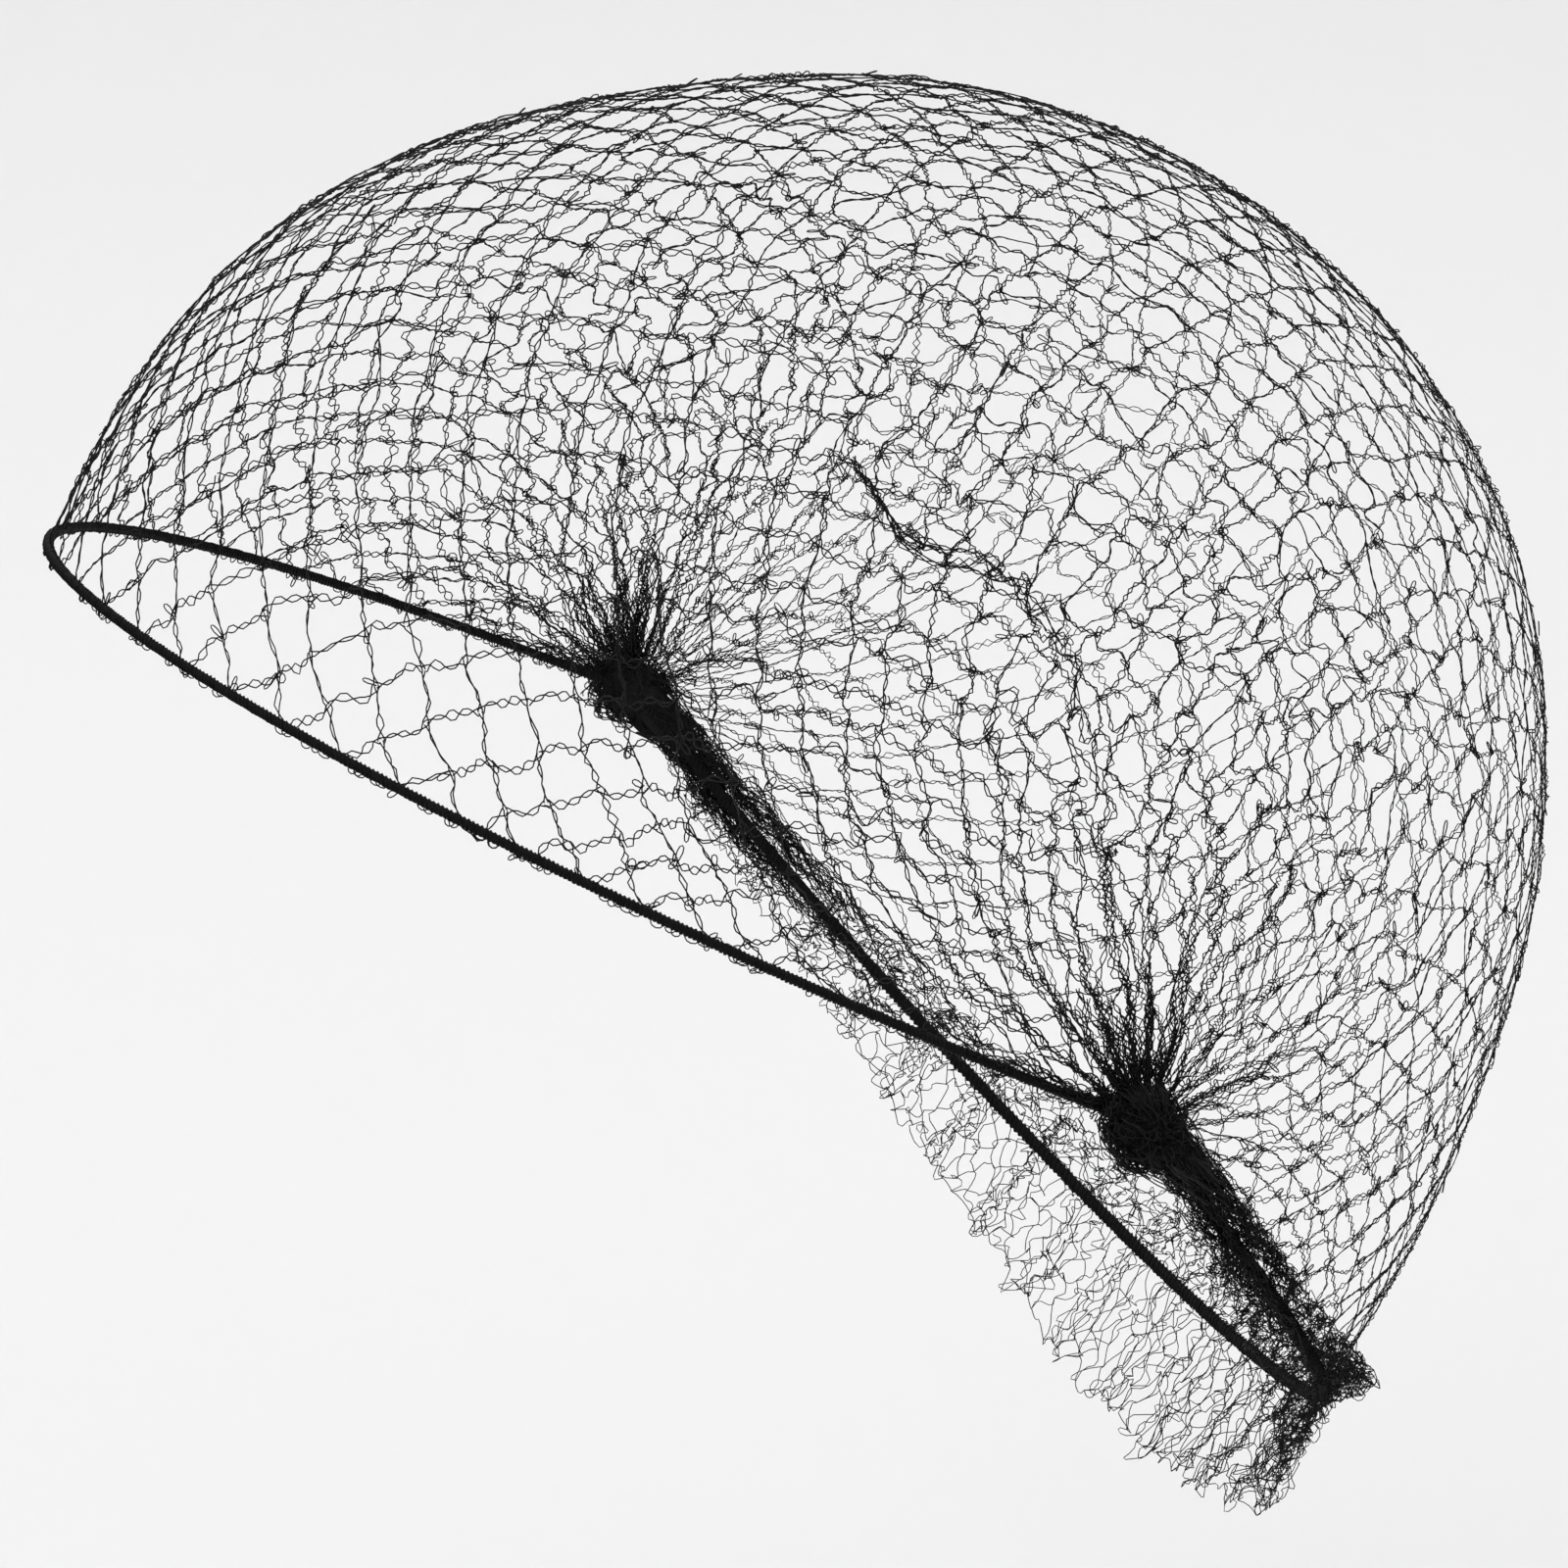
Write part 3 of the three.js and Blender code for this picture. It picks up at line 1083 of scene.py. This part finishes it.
@dataclass
class Elastic:
    """A rubber core with cover yarns wound round it, along one edge of the net."""

    head: HeadForm
    rng: np.random.Generator
    name: str
    node: str
    angle: float
    radius: float
    end_tilt: float = 88.5
    yarn_count: int = 3
    pitch: float = 2.4
    core_share: float = 0.72
    core_steps: int = 120
    core_sides: int = 8
    turn_steps: int = 6
    # How thick the cover yarns are for the room beside the core, as they crowd, and how they wander
    crowding: float = 1.9
    wander: float = 0.05
    wander_rate: float = 0.37
    unevenness: float = 0.03
    loop_spacing: float = 1.7
    loop_points: int = 9
    loop_half: Span = (0.35, 0.85)
    loop_drop: Span = (0.1, 0.45)
    loop_seat: float = 0.75
    loop_off: float = 0.5
    length_steps: int = 60
    step_ahead: float = 0.002

    def spine(self, share: Array) -> tuple[Array, Array]:
        """Gives points down the middle of the elastic.

        Args:
            share: shares of the way from the right bunch to the left one.

        Returns:
            The points, and the outward directions there.
        """
        half = self.head.tilt_along(self.angle, np.abs(2 * share - 1), self.end_tilt)
        tilt = np.sign(share - 0.5) * half
        points = self.head.point(np.full(tilt.shape, self.angle), tilt, self.radius)
        return points, self.head.outward(points)

    def build(self, material: bpy.types.Material) -> None:
        """Makes the core and winds the cover yarns on it.

        Args:
            material: the elastic's finish.
        """
        strands = StrandMesh(self.rng)
        points, out = self.spine(np.linspace(0, 1, self.core_steps))
        core = self.radius * self.core_share
        strands.add(points[None], out[None], core, sides=self.core_sides)
        length = np.linalg.norm(np.diff(points, axis=0), axis=1).sum()
        turns = length / self.pitch
        steps = int(turns * self.turn_steps)
        share = np.linspace(0, 1, steps)
        points, out = self.spine(share)
        side = unit(np.cross(np.gradient(points, axis=0), out))
        thread = 0.5 * self.radius * (1 - self.core_share) * self.crowding
        for k in range(self.yarn_count):
            turn = 2 * np.pi * (turns * share + k / self.yarn_count)
            sway = 1 + self.wander * np.sin(turn * self.wander_rate + k)
            away = (self.radius - thread) * (sway + self.rng.normal(0, self.unevenness, steps))
            path = points + away[:, None] * (np.cos(turn)[:, None] * out + np.sin(turn)[:, None] * side)
            strands.add(path[None], out[None], thread)
        enlist(strands.build(self.name, material), Slot.ELASTIC, self.node)

    def build_loops(self, name: str, yarn: Yarn, material: bpy.types.Material) -> None:
        """Makes the net's edge loops, which show as small scallops along the elastic's outer edge.

        Args:
            name: the loops' piece.
            yarn: the net's yarn.
            material: its finish.
        """
        ends, _ = self.spine(np.linspace(0, 1, self.length_steps))
        count = int(np.linalg.norm(np.diff(ends, axis=0), axis=1).sum() / self.loop_spacing)
        share = np.sort(self.rng.uniform(0, 1, count))
        points, out = self.spine(share)
        nearby, _ = self.spine(np.clip(share + self.step_ahead, 0, 1))
        ahead = unit(nearby - points + TINY_STEP)
        side = np.cross(ahead, out)
        turn = (2 * np.pi * np.arange(self.loop_points) / self.loop_points)[None, :, None]
        half, drop = (self.rng.uniform(*span, (count, 1, 1)) for span in (self.loop_half, self.loop_drop))
        height = self.rng.uniform(-self.loop_off, self.loop_off, (count, 1, 1)) * self.radius
        seat, room = self.loop_seat * self.radius, (1 - self.loop_seat) * self.radius
        paths = (
            points[:, None]
            + out[:, None] * height
            + ahead[:, None] * half * np.cos(turn)
            + side[:, None] * (seat + (room + drop) * np.sin(turn))
        )
        strands = StrandMesh(self.rng)
        strands.add(paths, out[:, None], yarn.radius, closed=True)
        enlist(strands.build(name, material), Slot.NET)


@dataclass
class EarBunch:
    """The dense bunch above one ear, where the net is drawn together on the elastics."""

    head: HeadForm
    yarn: Yarn
    rng: np.random.Generator
    side: Side
    bundles: tuple[float, ...]
    # Angles of the thick necks, each of which takes this many times the strands of a bundle
    necks: tuple[float, ...] = (112, 103, 96, 85)
    neck_share: int = 2
    long_half: float = 6.2
    short_half: float = 4.35
    # How far the bunch runs out along the nape elastic, and how much of its width that takes
    tail: float = 1.9
    taper: float = 0.25
    lean: float = -48.0
    seat: float = 0.9
    rise: float = 4.4
    inner_rise: float = 0.7
    core_size: float = 0.8
    # Depth, count round the bunch and slant of the folds that are pressed into its core
    folds: tuple[tuple[float, int, int], ...] = ((0.1, 5, 3), (0.08, 11, -5))
    wraps: int = 74
    wrap_eyelets: int = 9
    wrap_spread: float = 3.5
    wrap_sway: float = 4.0
    wrap_inner: Span = (0.0, 4.0)
    wrap_outer: Span = (8.0, 22.0)
    wrap_lift: float = 0.5
    wrap_rise: Span = (0.2, 1.2)
    # Arcs over the bunch, in radians, that swerve and swell by shares of its size
    tangles: int = 220
    tangle_points: int = 13
    tangle_arc: Span = (0.5, 1.7)
    tangle_swerve: Span = (0.1, 0.35)
    tangle_waves: Span = (4, 11)
    tangle_size: Span = (0.72, 1.06)
    tangle_swell: float = 0.14
    tangle_swells: float = 7
    tangle_rise: float = 0.7
    # Curls on the lower front edge, between two angles from the bunch's long half
    curls: int = 60
    curl_points: int = 13
    curl_angles: Span = (175, 300)
    curl_seat: float = 0.85
    curl_lift: Span = (0.6, 3.5)
    curl_size: Span = (0.5, 1.2)
    curl_spin: Span = (3.5, 7.5)
    curl_reach: Span = (0.4, 1.6)
    curl_rise: float = 0.5

    @property
    def middle(self) -> Array:
        """The bunch's middle, on the wall of the hollow."""
        return np.array([self.side.value * self.head.half_width, self.head.ear_y, self.head.ear_z])

    @property
    def outward(self) -> Array:
        """The direction straight out of the hollow at the bunch."""
        return np.array([self.side.value, 0.0, 0.0])

    def drawn_out(
        self, along: Array | float, across: Array | float
    ) -> tuple[Array | float, Array | float]:
        """Stretches places on a round bunch to the form that the nape elastic draws it out to.

        Args:
            along: shares of the bunch's long half.
            across: shares of its short half.

        Returns:
            Lengths behind the bunch's middle and above it.
        """
        turn = math.radians(self.lean)
        run = np.maximum(along, 0) ** 2
        long = self.long_half * along * (1 + self.tail * run)
        short = self.short_half * across * (1 - self.taper * run)
        back = long * math.cos(turn) - short * math.sin(turn)
        return back, long * math.sin(turn) + short * math.cos(turn)

    def build(self, material: bpy.types.Material) -> None:
        """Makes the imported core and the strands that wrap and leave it.

        Args:
            material: the yarn's finish.
        """
        side = self.side.name.lower()
        node = f"ear_gather_{side}"
        enlist(self.core(f"bunch_core_{side}", material), Slot.NET, node)
        strands = StrandMesh(self.rng)
        self.add_wraps(strands)
        self.add_tangles(strands)
        self.add_curls(strands)
        enlist(strands.build(f"bunch_strands_{side}", material), Slot.NET, node)

    def core(self, name: str, material: bpy.types.Material) -> bpy.types.Object:
        """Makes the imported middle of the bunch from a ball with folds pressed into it.

        Args:
            name: the core's name.
            material: the yarn's finish.

        Returns:
            The core.
        """
        form = bmesh.new()
        bmesh.ops.create_icosphere(form, subdivisions=5, radius=1.0)
        for vertex in form.verts:
            place = vertex.co
            turn = math.atan2(place.z, place.y)
            size = self.core_size
            for pressed, count, slant in self.folds:
                size += pressed * math.sin(count * turn + slant * place.x)
            depth = self.rise if place.x > 0 else self.inner_rise
            back, height = self.drawn_out(place.y * size, place.z * size)
            vertex.co = self.head.beside(self.side, back, height, self.seat + depth * place.x * size)
        bmesh.ops.recalc_face_normals(form, faces=form.faces)
        bmesh.ops.scale(form, vec=(MM, MM, MM), verts=form.verts)
        for face in form.faces:
            face.smooth = True
        return add_form(form, name, material)

    def add_wraps(self, strands: StrandMesh) -> None:
        """Adds strands that run over the core and out along the drawn net in bundles.

        Args:
            strands: the mesh that gets them.
        """
        count = (self.wraps, 1)
        share = self.yarn.shares(self.wrap_eyelets)[None]
        ways = self.bundles + self.neck_share * self.necks
        angle = self.rng.choice(ways, count) + self.rng.normal(0, self.wrap_spread, count)
        inner = self.rng.uniform(*self.wrap_inner, count)
        outer = mix(*self.wrap_outer, self.rng.random(count) ** 2)
        radius = mix(inner, outer, share)
        turn = np.radians(angle + self.rng.normal(0, self.wrap_sway, count) * np.sin(np.pi * share))
        back, height = radius * np.cos(turn), radius * np.sin(turn)
        size = 0.5 * (self.long_half + self.short_half)
        dome = np.sqrt(np.maximum(1 - (radius / size) ** 2, 0))
        lift = mix(self.wrap_lift, self.rise, dome) + self.rng.uniform(*self.wrap_rise, count)
        spines = self.head.beside(self.side, back, height, lift)
        up = np.broadcast_to(self.outward, spines.shape)
        paths = self.yarn.loose_chain(spines, up, self.wrap_eyelets, self.rng)
        slanted = self.outward + np.array([0.0, 0.02, 0.01])
        strands.add(paths, slanted, self.yarn.radius)

    def add_tangles(self, strands: StrandMesh) -> None:
        """Adds the strands that lie across each other all over the bunch.

        Args:
            strands: the mesh that gets them.
        """
        count = (self.tangles, 1, 1)
        start = unit(self.rng.normal(0, 1, (self.tangles, 3)))
        ahead = unit(np.cross(start, self.rng.normal(0, 1, start.shape)))
        across = np.cross(start, ahead)
        arc = self.rng.uniform(*self.tangle_arc, count)
        turn = np.linspace(0, 1, self.tangle_points)[None, :, None] * arc
        swerve = self.rng.uniform(*self.tangle_swerve, count)
        rate, phase = (self.rng.uniform(*span, count) for span in (self.tangle_waves, (0, PHASES)))
        bend = swerve * np.sin(rate * turn + phase)
        ball = start[:, None] * np.cos(turn) + ahead[:, None] * np.sin(turn) + across[:, None] * bend
        size = self.rng.uniform(*self.tangle_size, count)
        swell = self.tangle_swell * np.sin(self.tangle_swells * turn + self.rng.uniform(0, PHASES, count))
        ball = unit(ball) * (size + swell)
        depth = np.where(ball[..., 0] > 0, self.rise + self.tangle_rise, self.inner_rise)
        back, height = self.drawn_out(ball[..., 1], ball[..., 2])
        paths = self.head.beside(self.side, back, height, self.seat + depth * ball[..., 0])
        slanted = unit(ball) + 0.01
        strands.add(paths, slanted, self.yarn.radius)

    def add_curls(self, strands: StrandMesh) -> None:
        """Adds loose curls along the bunch's lower front edge.

        Args:
            strands: the mesh that gets them.
        """
        turn = np.radians(self.rng.uniform(*self.curl_angles, self.curls))
        edge = np.stack([np.zeros_like(turn), *self.drawn_out(np.cos(turn), np.sin(turn))], axis=-1)
        lift = self.rng.uniform(*self.curl_lift, (self.curls, 1)) * self.outward
        base = self.middle + self.curl_seat * edge + lift
        out = unit(edge)
        across = np.cross(out, [1.0, 0, 0])
        phase = np.linspace(0, 1, self.curl_points)[None, :, None]
        size, spin, away = (
            self.rng.uniform(*span, (self.curls, 1, 1))
            for span in (self.curl_size, self.curl_spin, self.curl_reach)
        )
        spin = spin * self.rng.choice([-1, 1], spin.shape)
        paths = (
            base[:, None]
            + out[:, None] * (away * phase + size * (1 - np.cos(spin * phase)) * 0.5)
            + across[:, None] * size * np.sin(spin * phase)
            + self.outward * self.curl_rise * np.sin(2 * spin * phase)
        )
        slanted = np.array([1.0, 0.1, 0.05])
        strands.add(paths, slanted, self.yarn.radius)


@dataclass
class NapeRuffle:
    """The spare net that is bunched on the nape elastic, with its loose tail at the middle."""

    head: HeadForm
    yarn: Yarn
    rng: np.random.Generator
    columns: int = 260
    rows: int = 13
    bar_points: int = 6
    end_tilt: float = 80.0
    # Lengths above and below the elastic, at the bunches and at the middle of the nape
    upper: Span = (2.5, 7.0)
    lower: Span = (3.0, 16.5)
    # The waves crowd the columns, drift along the nape and stand out most at the ruffle's edges
    waves: int = 22
    wave_crowd: float = 0.6
    wave_drift: float = 1.5
    wave_drifts: float = 9
    wave_depths: Span = (0.5, 1.0)
    wave_rise: Span = (1.2, 5.0)
    least_rise: float = 0.6
    loose_rise: float = 1.2
    column_scatter: float = 0.3
    level_scatter: float = 0.05
    bow: float = 0.6
    curl: float = 0.35
    # The roll of strands behind a bunch: the tilts at its start and its strands' ends, its lower and upper
    # side, and where its upper strands part from its lower ones
    roll_strands: int = 56
    roll_eyelets: int = 20
    roll_tilt: float = 89.0
    roll_ends: Span = (57.0, 80.0)
    roll_span: Span = (-1.8, 3.2)
    roll_parting: float = 0.8
    roll_parts_at: float = 0.5
    roll_parts: Span = (0.4, 0.7)
    roll_sway: float = 0.55
    roll_waves: Span = (14, 40)
    roll_crest: float = 0.8
    roll_rise: Span = (1.4, 4.2)
    roll_pack: Span = (0.3, 1.0)
    roll_ripple: float = 0.4
    # How much higher it starts, over the bunch's end
    roll_start: float = 1.6
    roll_start_radii: Span = (10.0, 2.0)

    def build(self, material: bpy.types.Material) -> None:
        """Makes the ruffle, and the strands packed along the elastic behind each bunch.

        Args:
            material: the yarn's finish.
        """
        ruffle = StrandMesh(self.rng)
        self.add_ruffle(ruffle)
        enlist(ruffle.build("nape_ruffle", material), Slot.NET, "nape_frill")
        roll = StrandMesh(self.rng)
        for side in Side:
            self.add_roll(roll, side)
        enlist(roll.build("nape_roll", material), Slot.NET, "nape_frill")

    def place(self, share: Array, level: Array, rise: Array) -> Array:
        """Gives points of the ruffle.

        Args:
            share: shares of the way from bunch to bunch.
            level: 1 on the upper edge, 0 on the elastic and -1 on the lower edge.
            rise: heights above the hollow's wall.

        Returns:
            The points.
        """
        tilt = mix(-self.end_tilt, self.end_tilt, share)
        hang = np.cos(np.radians(tilt)) ** 2
        length = np.where(level > 0, mix(*self.upper, hang), mix(*self.lower, hang)) * level
        angle = self.head.nape_angle
        radius = self.head.reach(np.array(angle)) * np.cos(np.radians(tilt))
        return self.head.point(angle + np.degrees(length / radius), tilt, rise)

    def add_ruffle(self, ruffle: StrandMesh) -> None:
        """Adds the ruffled net, with a strand along each of its edges.

        Args:
            ruffle: the mesh that gets it.
        """
        column, row = np.meshgrid(np.arange(self.columns + 1), np.arange(self.rows + 1), indexing="ij")
        share = column / self.columns
        turns = 2 * np.pi * self.waves
        crowd = np.sin(turns * share) * self.wave_crowd / turns
        scatter = self.rng.normal(0, self.column_scatter, column.shape) / self.columns
        share = np.clip(share + crowd + scatter, 0, 1)
        level = mix(1.0, -1.0, row / self.rows) + self.rng.normal(0, self.level_scatter, row.shape)
        wave = (1 - np.cos(turns * share + self.wave_drift * np.sin(self.wave_drifts * share))) / 2
        depths = mix(*self.wave_depths, self.rng.random(self.waves + 2))
        wave = depths[np.rint(self.waves * share).astype(int)] * wave * mix(*self.wave_rise, np.abs(level))
        rise = self.least_rise + wave + self.rng.uniform(0, self.loose_rise, row.shape)
        knots = self.place(share, level, rise)
        bars = []
        even = (column + row) % 2 == 0
        for step in (-1, 1):
            at = even & (column < self.columns) & (row + step >= 0) & (row + step <= self.rows)
            i, j = column[at], row[at]
            bars.append(np.stack([knots[i, j], knots[i + 1, j + step]], axis=1))
        for j in (0, self.rows):
            i = np.arange(j % 2, self.columns - 1, 2)
            bars.append(np.stack([knots[i, j], knots[i + 2, j]], axis=1))
        start, end = np.concatenate(bars).transpose(1, 0, 2)
        phase = np.linspace(0, 1, self.bar_points)[None, :, None]
        bow, curl = (self.rng.normal(0, size, start.shape)[:, None] for size in (self.bow, self.curl))
        paths = (
            start[:, None]
            + (end - start)[:, None] * phase
            + bow * 4 * phase * (1 - phase)
            + curl * np.sin(2 * np.pi * phase)
        )
        ruffle.add(paths, self.head.outward(paths), self.yarn.radius_at(self.head.nape_angle))

    def add_roll(self, roll: StrandMesh, side: Side) -> None:
        """Adds the strands packed along the elastic behind one bunch.

        Args:
            roll: the mesh that gets them.
            side: which bunch.
        """
        phase = self.yarn.shares(self.roll_eyelets)[None]
        count = (self.roll_strands, 1)
        tilt = mix(self.roll_tilt, self.rng.uniform(*self.roll_ends, count), phase)
        across = self.rng.uniform(0, 1, count)
        sway = self.roll_sway * np.sin(
            phase * self.rng.uniform(*self.roll_waves, count) + self.rng.uniform(0, PHASES, count)
        )
        offset = mix(*self.roll_span, across)
        parting = np.where(offset > self.roll_parts_at, self.roll_parting, -self.roll_parting)
        offset = offset + parting * smooth(*self.roll_parts, phase) + sway
        crest = 1 - np.abs(2 * across - self.roll_crest)
        rise = self.rng.uniform(*self.roll_pack, count) * mix(*self.roll_rise, crest)
        rise = rise + self.roll_ripple * np.sin(
            phase * self.rng.uniform(*self.roll_waves, count) + self.rng.uniform(0, PHASES, count)
        )
        turn = np.radians(self.head.nape_angle)
        along = self.head.reach(np.array(self.head.nape_angle)) * np.cos(np.radians(tilt))
        rise = rise + self.roll_start * smooth(*self.roll_start_radii, along)
        back = along * np.cos(turn) - offset * np.sin(turn)
        height = along * np.sin(turn) + offset * np.cos(turn)
        spines = self.head.beside(side, back, height, rise)
        up = self.head.outward(spines)
        paths = self.yarn.loose_chain(spines, up, self.roll_eyelets, self.rng)
        roll.add(paths, np.concatenate([up, up]), self.yarn.radius_at(self.head.nape_angle))


@dataclass(frozen=True)
class Lamp:
    """A round soft light: its direction and distance from the target, its width and its watts."""

    name: str
    azimuth: float
    elevation: float
    distance: float
    width: float
    power: float


@dataclass(frozen=True)
class Studio:
    """The camera, the lights and the pale floor with its backdrop."""

    azimuth: float = 66.0
    elevation: float = 22.0
    distance: float = 1000.0
    target: tuple[float, float, float] = (0.0, 2.9, -88.1)
    view_width: float = 193.7
    sensor: float = 36.0
    # Nearest and farthest that the camera sees, in metres
    clip: Span = (0.01, 50.0)
    floor_level: float = -260.0
    floor_size: float = 6000.0
    floor_sides: int = 96
    sweep: float = 1000.0
    sweep_steps: int = 8
    wall: float = 4000.0
    lamps: tuple[Lamp, ...] = (
        Lamp("key_light", azimuth=20, elevation=48, distance=1500, width=1100, power=9.5),
        Lamp("fill_light", azimuth=120, elevation=35, distance=1700, width=1300, power=5.1),
        Lamp("back_light", azimuth=250, elevation=55, distance=1600, width=1000, power=6.5),
    )
    surround: str = "#ffffff"
    surround_strength: float = 1.28

    def build(self, finish: StudioFinish) -> None:
        """Makes the whole studio.

        Args:
            finish: the floor's and backdrop's paint.
        """
        self.add_camera()
        self.add_floor(finish)
        self.add_lights()

    def place(
        self, data: bpy.types.ID, azimuth: float, elevation: float, distance: float
    ) -> bpy.types.Object:
        """Adds a camera or lamp that looks at the target.

        Args:
            data: the camera or lamp, whose name it gets.
            azimuth: its direction from the target, 0 in front and 90 at the left.
            elevation: its direction above the level.
            distance: its distance.

        Returns:
            The new object.
        """
        turn, lift = math.radians(azimuth), math.radians(elevation)
        direction = Vector(
            (math.sin(turn) * math.cos(lift), -math.cos(turn) * math.cos(lift), math.sin(lift))
        )
        thing = bpy.data.objects.new(data.name, data)
        thing.location = (Vector(self.target) + distance * direction) * MM
        bpy.context.scene.collection.objects.link(thing)
        to_target = Vector(self.target) * MM - thing.location
        thing.rotation_euler = to_target.to_track_quat("-Z", "Y").to_euler()
        return thing

    def add_camera(self) -> None:
        """Adds the camera at the photograph's angle, with its frame's width at the target."""
        data = bpy.data.cameras.new("camera")
        data.sensor_width = self.sensor
        data.lens = self.sensor * self.distance / self.view_width
        data.clip_start, data.clip_end = self.clip
        bpy.context.scene.camera = self.place(data, self.azimuth, self.elevation, self.distance)

    def add_floor(self, finish: StudioFinish) -> None:
        """Adds a round pale floor whose rim sweeps up as a backdrop.

        Args:
            finish: its paint.
        """
        form = bmesh.new()
        radius, sweep = 0.5 * self.floor_size * MM, self.sweep * MM
        bmesh.ops.create_circle(form, cap_ends=True, radius=radius, segments=self.floor_sides)
        rim = list(form.edges)
        for k in range(self.sweep_steps):
            grown = bmesh.ops.extrude_edge_only(form, edges=rim)["geom"]
            rim = [item for item in grown if isinstance(item, bmesh.types.BMEdge)]
            corners = [item for item in grown if isinstance(item, bmesh.types.BMVert)]
            low, high = (math.radians(90 * step / self.sweep_steps) for step in (k, k + 1))
            scale = (radius + sweep * math.sin(high)) / (radius + sweep * math.sin(low))
            bmesh.ops.scale(form, vec=(scale, scale, 1), verts=corners)
            bmesh.ops.translate(form, vec=(0, 0, sweep * (math.cos(low) - math.cos(high))), verts=corners)
        grown = bmesh.ops.extrude_edge_only(form, edges=rim)["geom"]
        corners = [item for item in grown if isinstance(item, bmesh.types.BMVert)]
        bmesh.ops.translate(form, vec=(0, 0, self.wall * MM), verts=corners)
        bmesh.ops.translate(form, vec=(0, 0, self.floor_level * MM), verts=form.verts)
        for face in form.faces:
            face.smooth = len(face.verts) == 4
        # The extrusions leave the faces in no fixed order
        form.faces.sort(key=self.face_order)
        floor = add_form(form, "studio_floor", finish.material())

    @staticmethod
    def face_order(face: bmesh.types.BMFace) -> float:
        """Orders the floor's faces by height, and round the floor at one height."""
        middle = face.calc_center_median()
        return middle.z / MM + math.atan2(middle.y, middle.x)

    def add_lights(self) -> None:
        """Adds a broad key, a fill and a back light, and an even pale surround."""
        for lamp in self.lamps:
            data = bpy.data.lights.new(lamp.name, "AREA")
            data.shape = "DISK"
            data.size = lamp.width * MM
            data.energy = lamp.power
            self.place(data, lamp.azimuth, lamp.elevation, lamp.distance)
        world = bpy.data.worlds.new("studio")
        world.use_nodes = True
        surround = world.node_tree.nodes["Background"]
        surround.inputs["Color"].default_value = linear_colour(self.surround)
        surround.inputs["Strength"].default_value = self.surround_strength
        bpy.context.scene.world = world
        bpy.context.scene.view_settings.view_transform = "Standard"


def main() -> None:
    """Builds the hairnet's pieces in order, then the studio."""
    logging.basicConfig(level=logging.INFO, format="%(name)s %(message)s")
    rng = np.random.default_rng(SEED)
    head, yarn = HeadForm(), Yarn()
    net_material = YarnFinish().material()
    elastic_material = ElasticFinish().material()

    net = CrownNet(head, yarn, rng)
    net.build(net_material)
    front = Elastic(head, rng, "front_elastic", "front_band", head.front_angle, radius=0.74, pitch=1.7)
    front.build(elastic_material)
    nape = Elastic(head, rng, "nape_elastic", "nape_band", head.nape_angle, radius=1.0)
    nape.build(elastic_material)
    front.build_loops("front_edge_loops", yarn, net_material)
    for side in Side:
        EarBunch(head, yarn, rng, side, net.bundles).build(net_material)
    NapeRuffle(head, yarn, rng).build(net_material)
    Studio().build(StudioFinish())


if __name__ == "__main__":
    main()
